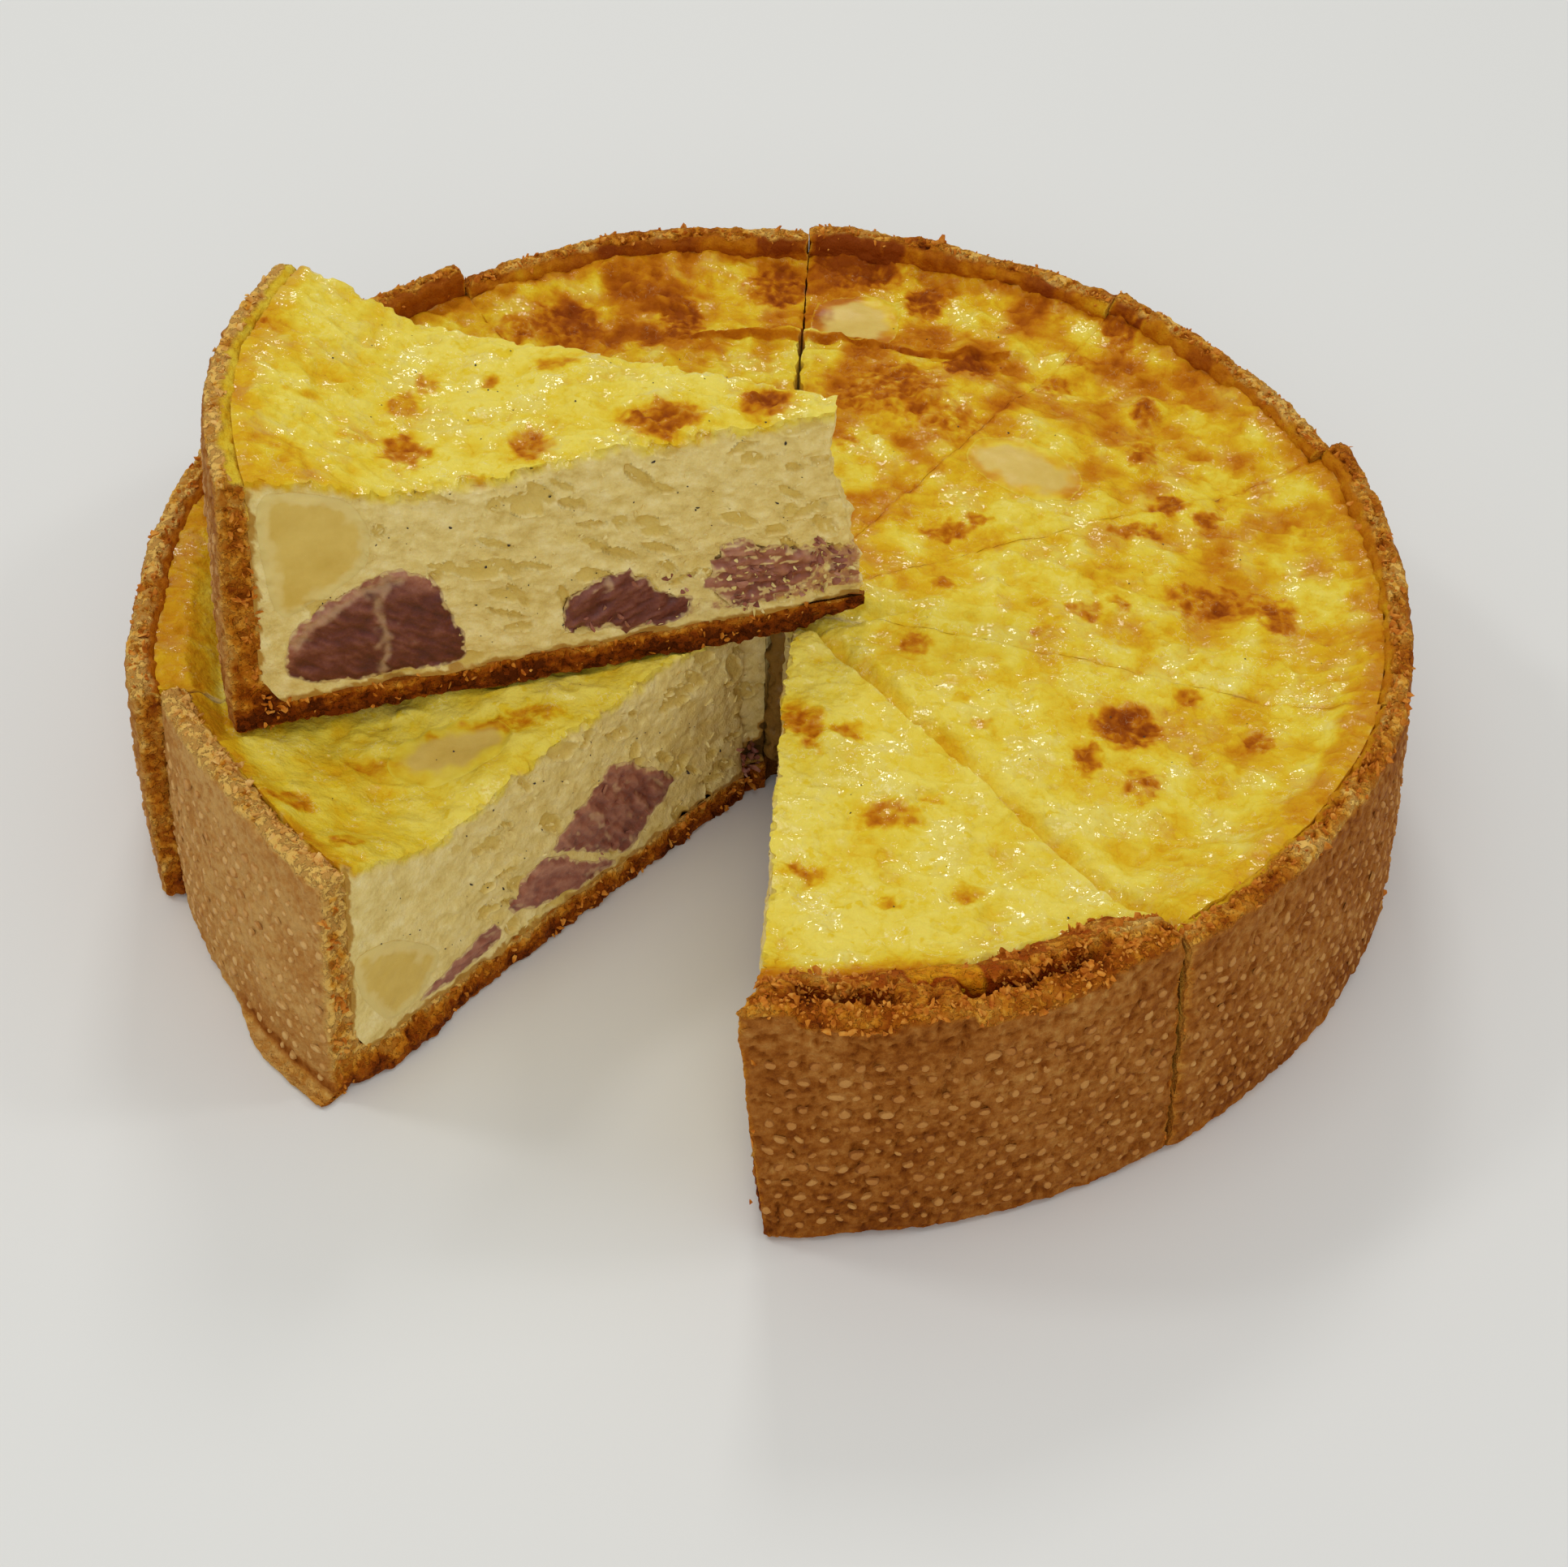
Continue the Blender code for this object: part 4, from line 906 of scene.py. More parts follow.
def crust_surface(wedge, flat, s, profile, opened):
    """Relief of the crust's outside, and the marks its colour follows."""
    spec, label = wedge.spec, wedge.label
    torn, pale = label == "bc", label in PALE_RIMS
    # how crumbly it is: 1 on the rim, fading below a wavering line on the outside
    drop = spec["height"] - flat[:, 2]
    lip = 2.4 * ease(0.2, 0.8, opened)
    crumb = np.where(profile < 9.0, ease(lip + 2.6, lip + 1.2, drop + 0.9 * rough(flat, 6.0, 100, 3)), 1.0)
    crumb = crumb * ease(17.0, 15.6, profile)
    # where the custard's skin runs up the rim
    on_rim = profile + 0.9 * rough(flat, 5.0, 138, 2)
    glazed = (ease(13.9, 15.0, on_rim) if torn else ease(12.6, 14.4, on_rim)) * (0.4 if pale else 1.0)
    coat_from = COAT_FROM.get(label, 11.7)
    coat = ease(coat_from, coat_from + 1.2, on_rim) * ease(17.2, 16.2, profile)
    glazed = np.maximum(glazed, coat)
    edge = np.minimum(s, 1 - s) * wedge.rim_length
    chip = ease(1.3, 0.0, edge + 0.8 * rough(flat, 3.0, 101, 2))
    foot_crumb = ease(2.6, 0.6, flat[:, 2] + 0.8 * ripple(flat, 5.0, 102)) * (profile < 4)
    crumb = np.clip(np.maximum.reduce([crumb, 0.55 * chip, 0.6 * foot_crumb]), 0, 1)
    # relief
    coarse, fine = grains(flat, 2.6, 103), grains(flat, 1.35, 104)
    pits = ease(0.2, 0.7, rough(flat, 2.6, 109, 3)) * ease(9.5, 11.0, profile) * (1.0 - 0.8 * glazed)
    rim_form = 0.6 * rough(flat, 12.0, 105, 3) + 0.25 * ripple(flat, 3.2, 106)
    rim_form = rim_form + coat * (0.45 * rough(flat, 5.0, 141, 2) + 0.3 * rough(flat, 2.2, 142, 2))
    crumbs = 0.26 * (coarse - 0.3) + 0.4 * (fine - 0.3) - spec.get("pits", 0.6) * pits
    sunk = spec.get("grit", 1.0) * ease(0.25, 0.65, rough(flat, 2.0, 139, 2))
    smooth_wall = 0.28 * rough(flat, 14.0, 107, 2) + 0.36 * rough(flat, 2.6, 108, 3) - 0.5 * sunk
    azimuth = np.degrees(np.arctan2(flat[:, 1], flat[:, 0]))
    if torn:
        round_wall = azimuth * math.radians(MEAN_RADIUS) + 0.35 * ripple(flat, 2.5, 133)
        crack = ease(0.8, 0.1, line_distance(round_wall, flat[:, 2], WALL_CRACK))
        smooth_wall -= 0.8 * crack * ease(34.0, 46.0, flat[:, 2])
    groove = ease(10.9, 11.8, profile) * ease(14.4, 13.4, profile) * opened
    amount = mix(smooth_wall, rim_form + (1.0 - 0.7 * glazed) * crumbs, crumb) - 0.45 * chip
    amount = amount * (1.0 - 0.5 * groove) - 0.25 * (flat[:, 2] < 0.9)
    # how brown it is baked
    bake = spec["bake"] + 0.12 * rough(flat, 16.0, 110, 3) + 0.10 * ease(24.0, 4.0, flat[:, 2])
    bake += (0.12 + 0.1 * spec.get("grit", 1.0)) * rough(flat, 1.7, 117, 2)
    if torn:
        bake -= (0.05 * ease(10.0, 6.0, drop - lip) + 0.07 * ease(0.4, 0.8, s)) * (profile < 10.0) * (1 - crumb)
    if spec.get("foot"):
        dark_line = 0.45 * ease(1.4, 2.4, flat[:, 2]) * ease(5.4, 3.2, flat[:, 2])
        bake += ease(0.45, 0.6, s) * (dark_line - 0.12 * ease(2.2, 1.2, flat[:, 2]))
    azimuth = azimuth % 360.0
    at_back = 0.0 if wedge.lifted else 0.1 * ease(60, 80, azimuth) * ease(140, 120, azimuth)
    rim_bake = spec.get("rim_bake", 0.22) + 0.34 * rough(flat, 11.0, 111, 4) + at_back
    # Painted shade: the wall is browner where it is sunk, and the rim browner in its pits and paler on its grains.
    bake = mix(bake + 0.16 * sunk, rim_bake, crumb)
    bake += crumb * (0.16 * ease(12.4, 11.4, profile) * torn + 0.42 * pits - 0.24 * (fine - 0.2) * (1 - glazed)
                     + 0.12 * groove)
    golden = ease(13.2, 14.0, profile) * ease(-78.6, -77.4, azimuth - 360) * ease(-70.6, -72.0, azimuth - 360)
    caramel = golden * torn + 0.5 * groove * ease(-0.9, -0.1, rough(flat, 8.0, 112, 2))
    caramel = np.maximum(caramel, glazed * crumb * 0.5 * ease(-0.6, 0.2, rough(flat, 6.0, 140, 3)))
    # the skin on the rim is as brown as the top beside it, mirrored over the edge
    folded = 1.0 - 0.9 * np.clip(5.0 - drop, 0.0, 8.0) / MEAN_RADIUS
    tan = wedge.brown(flat[:, 0] * folded, flat[:, 1] * folded) + COAT_TAN[label]
    return amount, dict(bake=bake, crumb=crumb, caramel=caramel, coat=coat, tan=tan)


def add_hidden_sides(skin, wedge, s, outside):
    """Adds the rest of the section: down the hidden inner wall, along the base and back underneath.

    Returns the inner wall's first line and, for each cut face, the points of its outline there."""
    base, columns = wedge.base, len(s)
    tip = np.full(columns, 2.0)

    def inside_wall(z, inward):
        return wedge.near(s, wedge.reach(s, wedge.outer_radius(s, z) - inward), z)

    rings = [outside[:, -1], inside_wall(30.0, wedge.wall), inside_wall(base + 6.5, wedge.wall),
             inside_wall(base + 2.2, wedge.wall + 1.5), inside_wall(base, wedge.wall + 6.0),
             wedge.near(s, tip, base), wedge.near(s, tip, 0.0), outside[:, 0]]
    thin = sorted({*range(0, columns, max(1, int(4.0 / POINT_SPACING))), columns - 1})
    ends = {"s": [], "e": []}
    for k, (first, second) in enumerate(zip(rings, rings[1:])):
        # each strip is coarse along the slice, and its two ends carry the cut faces' own points
        steps = max(1, int(np.linalg.norm(second[0] - first[0]) / POINT_SPACING))
        end_line = {}
        for side, column in (("s", 0), ("e", columns - 1)):
            t = np.linspace(0, 1, (steps if wedge.is_open(side) else 1) + 1)[:, None]
            end_line[side] = mix(first[column], second[column], t)
            ends[side].append(end_line[side][:-1])
        for a, b in zip(thin, thin[1:]):
            upper = first[a:b + 1] if k == 0 else first[[a, b]]
            lower = second[a:b + 1] if k == len(rings) - 2 else second[[a, b]]
            left = end_line["s"][1:-1] if a == 0 else upper[:0]
            right = end_line["e"][1:-1] if b == columns - 1 else upper[:0]
            skin.polygon(np.concatenate([upper, right, lower[::-1], left[::-1]]), bake=0.5)
    skin.polygon(np.concatenate([rings[5][thin], rings[6][thin][::-1]]), bake=0.6)
    return rings[1], {side: np.concatenate(lines)[1:] for side, lines in ends.items()}


def add_crust_face(skin, wedge, side, outline, inner_wall):
    """Adds an open cut face inside its outline; inner_wall is where the hidden wall meets it."""
    spec, base = wedge.spec, wedge.base
    point, along, _ = wedge.face_frame(side)
    plan = np.stack([(outline[:, :2] - point) @ along, outline[:, 2]], axis=1)
    wall_u = (inner_wall[:2] - point) @ along

    def body(points):
        keep = (points[:, 1] < base + 7.0) | (points[:, 0] > wall_u - 4.0)
        keep[keep] = inside_by(points[keep], plan) > 0.45 * POINT_SPACING
        return keep

    inside, triangles = filled(plan, POINT_SPACING, wedge.seed + 5, body)
    u, z = inside.T
    face = flat3(*(point + along * inside[:, :1]).T, z)
    face[:len(outline)] = outline
    place = flat3(u, z, wedge.seed)
    line = ease(0.9, 0.2, np.abs(z - base + 0.7 + 0.3 * ripple(place, 3.0, 118))) * (u < wall_u - 2.0)
    skin_edge = ease(1.5, 0.3, np.clip(inside_by(inside, plan), 0, 9)) * (u > wall_u - 1.0) * (z > base)
    tone = mix(spec["cut_bake"], spec["base_bake"], ease(base + 1.5, 1.0, z)) + 0.12 * ease(30.0, 12.0, z)
    tone += 0.32 * rough(place, 5.0, 119, 4) - 0.3 * line - 0.25 * skin_edge
    tone += 0.3 * ease(0.25, 0.7, ripple(place, 1.7, 62))
    skin.add(face, triangles, bake=tone, crumb=1.0)


def build_crust(wedge, reliefs, materials):
    """The crust of a slice, and the places on it where dots and crumbs can lie."""
    columns = int(wedge.rim_length / POINT_SPACING)
    s = np.linspace(0, 1, columns)
    openness = split_along(wedge, s)[:, None, None]
    line, steps_along = crust_lines(wedge, s, openness)
    inward, z = line[..., 0], line[..., 1]
    size = z.shape
    ss = np.broadcast_to(s[:, None], size)
    radius = wedge.outer_radius(ss, np.minimum(z, wedge.spec["height"])) - inward
    flat = wedge.near(ss, wedge.reach(ss, radius), z).reshape(-1, 3)
    run = np.gradient(line, axis=1)
    run /= np.maximum(np.linalg.norm(run, axis=2, keepdims=True), 1e-9)
    normal = np.concatenate([wedge.heading(ss) * run[..., 1:2], run[..., 0:1]], axis=2)
    profile = np.broadcast_to(steps_along[None], size).ravel()
    amount, looks = crust_surface(wedge, flat, ss.ravel(), profile, openness[..., 0].repeat(size[1], 1).ravel())
    moved = flat + normal.reshape(-1, 3) * amount[:, None]
    moved[:, 2] = np.maximum(moved[:, 2], 0.0)
    outside = moved.reshape(*size, 3)
    skin = Skin(*looks)
    skin.grid(outside, **looks)
    inner_wall, rest = add_hidden_sides(skin, wedge, s, outside)
    for side, column in (("s", 0), ("e", columns - 1)):
        outline = np.concatenate([outside[column], rest[side]])
        if wedge.is_open(side):
            add_crust_face(skin, wedge, side, outline, inner_wall[column])
        else:
            skin.polygon(outline, bake=0.35, crumb=0.6)
    points, marks, faces = skin.welded()
    points = wedge.pushed(points, reliefs)
    if wedge.lifted:
        # crumbs hang from the near foot, and the base rises a little at its tip
        close = ease(5.0, 1.0, wedge.face_place("e", points)[1]) * ease(2.2, 0.0, points[:, 2])
        points[:, 2] += close * np.maximum(0.0, 0.9 * rough(points, 4.0, 99, 3) + 0.25)
        low = np.clip(1.0 - points[:, 2] / wedge.base, 0, 1)
        points[:, 2] += 3.6 * ease(17.0, 2.0, np.hypot(points[:, 0], points[:, 1])) * low
    points[:, 2] = np.maximum(points[:, 2], 0.0)
    piece = make_piece("shell_" + wedge.label, points, faces, marks, materials, wedge.lifted)
    normals = normal / np.linalg.norm(normal, axis=2, keepdims=True)
    return piece, dict(points=outside, normals=normals, crumb=looks["crumb"].reshape(size),
                       profile=profile.reshape(size), coat=looks["coat"].reshape(size))


# ---- ham and potato
def lump_looks(piece, flat, outline, seed):
    """Relief of a piece's cut side, and the marks its colour follows."""
    u, v = flat.T
    place, depth = flat3(u, v, seed), np.clip(inside_by(flat, outline), 0, 9)
    if piece["kind"] == "potato":
        relief = 0.2 * rough(place, 8.0, 124, 2) + 0.05 * ripple(place, 2.0, 125)
        return relief, {"brown": np.zeros(len(u)), "rim": np.zeros(len(u)),
                        "smear": ease(4.6, 0.2, depth + 1.6 * rough(place, 4.0, 136, 3))}
    turn, pale_rim = math.radians(piece.get("fibres", 35.0)), piece.get("pale_rim", 0.0)
    fibre = flat3(0.55 * (u * math.cos(turn) + v * math.sin(turn)),
                  2.2 * (v * math.cos(turn) - u * math.sin(turn)), seed)
    strands = rough(fibre, 3.4, 120, 3)
    torn = grains(flat3(u * 0.8, v * 1.4, seed), 1.9, 121) - 0.3
    relief = 0.15 + piece.get("loose", 0.6) * (0.5 * strands + 0.3 * torn) + 0.35 * ripple(place, 6.0, 122)
    fat = rough(fibre, 6.0, 123, 3) + 0.5 * rough(place, 2.2, 128, 2) - 0.9 * piece["dark"] - 0.25
    for line in piece.get("seams", ()):
        away = line_distance(u + rough(place, 5.0, 129, 3), v + rough(place, 5.0, 130, 3), line)
        relief -= 0.25 * ease(1.2, 0.0, away)
        fat = np.maximum(fat, 0.5 * ease(1.9, 0.0, away + 0.7 * rough(place, 2.0, 131, 2)))
    upper = ease(v.min(), v.max(), v + 0.4 * (u - u.mean()) * pale_rim)
    border = ease(4.5, 0.6, depth + 0.8 * rough(place, 3.0, 134, 2)) * ease(0.35, 0.8, upper)
    smear = np.maximum(0.8 * ease(1.0, 0.0, depth + 0.7 * rough(place, 1.8, 135, 2)),
                       piece.get("flecks", 0.0) * ease(0.3, 0.65, rough(fibre, 2.4, 141, 3)))
    shade = np.clip(0.5 + 0.45 * strands + 0.2 * torn, 0, 1) + 0.3 * (upper - 0.5)
    return relief, {"fat": np.clip(0.5 + 0.6 * fat, 0, 1), "dark": piece["dark"] - 0.8 * pale_rim * border,
                    "shade": shade, "smear": smear}


def face_lump(name, piece, wedge, side, start, material):
    """A piece that a cut went through: its cut side in the face, its rounded body behind."""
    point, along, outward = wedge.face_frame(side)
    foot = point + along * start
    outline, seed = smooth_line(piece["outline"], POINT_SPACING), sum(map(ord, name))
    ragged = piece.get("ragged", 0.7 if piece["kind"] == "ham" else 0.15)
    shifted = flat3(outline[:, 0], outline[:, 1], seed)
    outline = outline + ragged * np.stack([rough(shifted, 4.0, 126, 3), rough(shifted, 4.0, 127, 3)], axis=1)
    flat, triangles = filled(outline, POINT_SPACING, seed)
    relief, marks = lump_looks(piece, flat, outline, seed)
    around = face_reliefs(wedge)[0][side].plain(flat[:, 0] + start, flat[:, 1])
    relief = mix(relief, around + 0.1, 1.0 - ease(0.2, 2.0, np.clip(inside_by(flat, outline), 0, 9)))

    def at(shape, deep):
        plan = foot + along * shape[:, :1] - outward * np.broadcast_to(deep, len(shape))[:, None]
        return flat3(*plan.T, shape[:, 1])

    skin = Skin(*marks)
    skin.add(at(flat, -relief), triangles, **marks)
    middle, total = outline.mean(axis=0), piece["depth"]
    levels = ((1.0, 0.0), (0.97, 0.25), (0.93, 0.5), (0.8, 0.8), (0.6, 1.0))
    back = np.stack([at(middle + (outline - middle) * scale, deep * total) for scale, deep in levels])
    back[0] = at(flat, -relief)[:len(outline)]
    skin.grid(np.concatenate([back, back[:, :1]], axis=1), **{key: 0.5 for key in marks})
    skin.polygon(back[-1], **{key: 0.5 for key in marks})
    points, marks, faces = skin.welded()
    return make_piece(name, points, faces, marks, [material], wedge.lifted, 60.0)


def potato_outline(spec, spacing):
    turn, power = math.radians(spec["turn"]), 2.0 / spec["square"]
    count = int(math.pi * sum(spec["half"]) / spacing)
    angle = np.linspace(0, 2 * np.pi, count, endpoint=False)
    x = np.sign(np.cos(angle)) * np.abs(np.cos(angle)) ** power * spec["half"][0]
    y = np.sign(np.sin(angle)) * np.abs(np.sin(angle)) ** power * spec["half"][1]
    return np.stack([spec["at"][0] + x * math.cos(turn) - y * math.sin(turn),
                     spec["at"][1] + x * math.sin(turn) + y * math.cos(turn)], axis=1)


def top_potato(name, spec, material):
    """A flat piece of potato that shows in the top."""
    outline = potato_outline(spec, POINT_SPACING)
    flat, triangles = filled(outline, POINT_SPACING, sum(map(ord, name)))
    x, y = flat.T
    depth = inside_by(flat, outline)
    rim = ease(5.4, 0.4, depth + 1.8 * rough(flat3(x, y), 6.0, 137, 3))
    brown = quiche_brown(x, y)
    own, around = 0.12 * rough(flat3(x, y), 5.0, 130, 2), custard_fine(x, y, brown, 90) + 0.04
    form = mix(own, around, ease(1.6, 0.0, depth))
    top = flat3(x, y, np.minimum(quiche_level(x, y), bearing_level(x, y)) + form)
    skin = Skin("brown", "rim")
    skin.add(top, triangles, brown=brown, rim=rim)
    edge = top[:len(outline)]
    low = edge.copy()
    low[:, 2] = quiche_level(*np.array(spec["at"])[:, None])[0] - POTATO_DEPTH
    side = np.stack([edge, low])
    skin.grid(np.concatenate([side, side[:, :1]], axis=1), rim=1.0)
    skin.polygon(low, rim=1.0)
    points, marks, faces = skin.welded()
    return make_piece(name, points, faces, marks, [material], sharp=60.0)


# ---- materials
def colour_ramp(tree, stops, factor):
    ramp = tree.nodes.new("ShaderNodeValToRGB")
    band = ramp.color_ramp
    while len(band.elements) > 1:
        band.elements.remove(band.elements[-1])
    for place, colour in stops:
        stop = band.elements[0] if place == stops[0][0] else band.elements.new(place)
        stop.position, stop.color = place, (*colour, 1.0)
    tree.links.new(factor, ramp.inputs[0])
    return ramp.outputs[0]


class Nodes:
    """Short names for the nodes of a tree, with sizes in mm."""

    def __init__(self, tree, coords):
        self.tree, self.coords = tree, coords

    def put(self, socket, value):
        if isinstance(value, bpy.types.NodeSocket):
            self.tree.links.new(value, socket)
        else:
            socket.default_value = (*value, 1.0) if isinstance(value, tuple) else value

    def mark(self, name):
        node = self.tree.nodes.new("ShaderNodeAttribute")
        node.attribute_name = name
        return node.outputs["Fac"]

    def noise(self, size, detail=3.0, roughness=0.6):
        node = self.tree.nodes.new("ShaderNodeTexNoise")
        self.put(node.inputs["Vector"], self.coords)
        self.put(node.inputs["Scale"], self.value("DIVIDE", 1.0 / MM, size)
                 if isinstance(size, bpy.types.NodeSocket) else 1.0 / MM / size)
        self.put(node.inputs["Detail"], detail)
        self.put(node.inputs["Roughness"], roughness)
        return node.outputs["Fac"]

    def value(self, operation, *inputs, clamp=False):
        node = self.tree.nodes.new("ShaderNodeMath")
        node.operation, node.use_clamp = operation, clamp
        for socket, value in zip(node.inputs, inputs):
            self.put(socket, value)
        return node.outputs[0]

    def spread(self, value, middle, amount):
        """How far a value is from its middle, times an amount."""
        return self.value("MULTIPLY", self.value("SUBTRACT", value, middle), amount)

    def between(self, low, high, value, out_low=0.0, out_high=1.0):
        node = self.tree.nodes.new("ShaderNodeMapRange")
        node.interpolation_type = "SMOOTHSTEP"
        for socket, number in (("Value", value), ("From Min", low), ("From Max", high), ("To Min", out_low),
                               ("To Max", out_high)):
            self.put(node.inputs[socket], number)
        return node.outputs[0]

    def blend(self, factor, a, b):
        node = self.tree.nodes.new("ShaderNodeMix")
        node.data_type = "RGBA"
        for socket, value in zip((0, 6, 7), (factor, a, b)):
            self.put(node.inputs[socket], value)
        return node.outputs[2]

    def bump(self, height, distance, strength=1.0, before=None):
        node = self.tree.nodes.new("ShaderNodeBump")
        self.put(node.inputs["Distance"], self.value("MULTIPLY", distance, MM)
                 if isinstance(distance, bpy.types.NodeSocket) else distance * MM)
        self.put(node.inputs["Strength"], strength)
        self.put(node.inputs["Height"], height)
        if before:
            self.put(node.inputs["Normal"], before)
        return node.outputs[0]

    def effect(self, group, **inputs):
        """Outputs of a shared effect, placed here with its own values."""
        node = self.tree.nodes.new("ShaderNodeGroup")
        node.node_tree = group
        self.put(node.inputs["Position"], self.coords)
        for label, value in inputs.items():
            self.put(node.inputs[label], value)
        return node.outputs


class Finish(Nodes):
    """A material in the making, on Object coordinates."""

    def __init__(self, name, colour, **constants):
        self.material = bpy.data.materials.new(name)
        self.material.use_nodes = True
        tree = self.material.node_tree
        super().__init__(tree, tree.nodes.new("ShaderNodeTexCoord").outputs["Object"])
        self.shader = tree.nodes["Principled BSDF"]
        self.material.diffuse_color = (*colour, 1.0)
        for socket, value in constants.items():
            self.shader.inputs[socket.replace("_", " ")].default_value = value

    def grain(self, size, distance, strength, detail=3.0, roughness=0.6):
        return self.effect(fine_grain, Size=size, Detail=detail, Roughness=roughness, Distance=distance,
                           Strength=strength)["Normal"]

    def finish(self, colour, roughness, normal):
        for socket, value in (("Base Color", colour), ("Roughness", roughness), ("Normal", normal)):
            self.put(self.shader.inputs[socket], value)
        return self.material


def shared_effect(name, inputs, outputs):
    """A shader node group for more than one finish: its nodes, its inputs and its outputs."""
    tree = bpy.data.node_groups.new(name, "ShaderNodeTree")
    tree.interface.new_socket("Position", in_out="INPUT", socket_type="NodeSocketVector")
    for label in inputs:
        tree.interface.new_socket(label, in_out="INPUT", socket_type="NodeSocketFloat")
    for label, kind in outputs.items():
        tree.interface.new_socket(label, in_out="OUTPUT", socket_type="NodeSocket" + kind)
    given = tree.nodes.new("NodeGroupInput").outputs
    return Nodes(tree, given["Position"]), given, tree.nodes.new("NodeGroupOutput").inputs


def browned_top_effect():
    """Colours of the baked top, from pale yellow to dark brown, mottled."""
    n, given, out = shared_effect("browned_top", ("Browning", "Mottle"), {"Color": "Color", "Speckle": "Float"})
    speckle = n.noise(2.1, 5.0, 0.65)
    brown = n.value("ADD", given["Browning"], n.spread(speckle, 0.5, given["Mottle"]), clamp=True)
    n.put(out["Color"], colour_ramp(n.tree, TOP_COLOURS, brown))
    n.put(out["Speckle"], speckle)
    return n.tree


def oven_tone_effect():
    """How brown crust is at each place, with a fine unevenness."""
    n, given, out = shared_effect("oven_tone", ("Bake", "Size", "Amount"), {"Tone": "Float", "Grit": "Float"})
    grit = n.value("SUBTRACT", n.noise(given["Size"], 4.0, 0.7), 0.5)
    n.put(out["Tone"], n.value("ADD", given["Bake"], n.value("MULTIPLY", grit, given["Amount"]), clamp=True))
    n.put(out["Grit"], grit)
    return n.tree


def fine_grain_effect():
    """Fine relief of a surface."""
    n, given, out = shared_effect("fine_grain", ("Size", "Detail", "Roughness", "Distance", "Strength"),
                                  {"Normal": "Vector"})
    n.put(out["Normal"], n.bump(n.noise(given["Size"], given["Detail"], given["Roughness"]), given["Distance"],
                                given["Strength"]))
    return n.tree


# Colours of the baked top from pale yellow to dark brown.
TOP_COLOURS = ((0.0, (0.87, 0.71, 0.112)), (0.12, (0.82, 0.62, 0.050)), (0.26, (0.76, 0.47, 0.014)),
               (0.42, (0.66, 0.31, 0.008)), (0.58, (0.56, 0.19, 0.004)), (0.76, (0.41, 0.105, 0.003)),
               (1.0, (0.25, 0.046, 0.003)))
# Colours of crust from golden to dark: its smooth outside, and its crumb where it is cut or broken.
CRUST_COLOURS = ((0.0, (0.66, 0.37, 0.11)), (0.22, (0.54, 0.245, 0.055)), (0.45, (0.42, 0.150, 0.024)),
                 (0.65, (0.31, 0.090, 0.009)), (0.85, (0.20, 0.048, 0.004)), (1.0, (0.11, 0.024, 0.002)))
CRUMB_COLOURS = ((0.0, (0.90, 0.55, 0.13)), (0.2, (0.78, 0.37, 0.045)), (0.42, (0.61, 0.215, 0.012)),
                 (0.65, (0.42, 0.110, 0.004)), (0.85, (0.23, 0.046, 0.002)), (1.0, (0.10, 0.018, 0.001)))


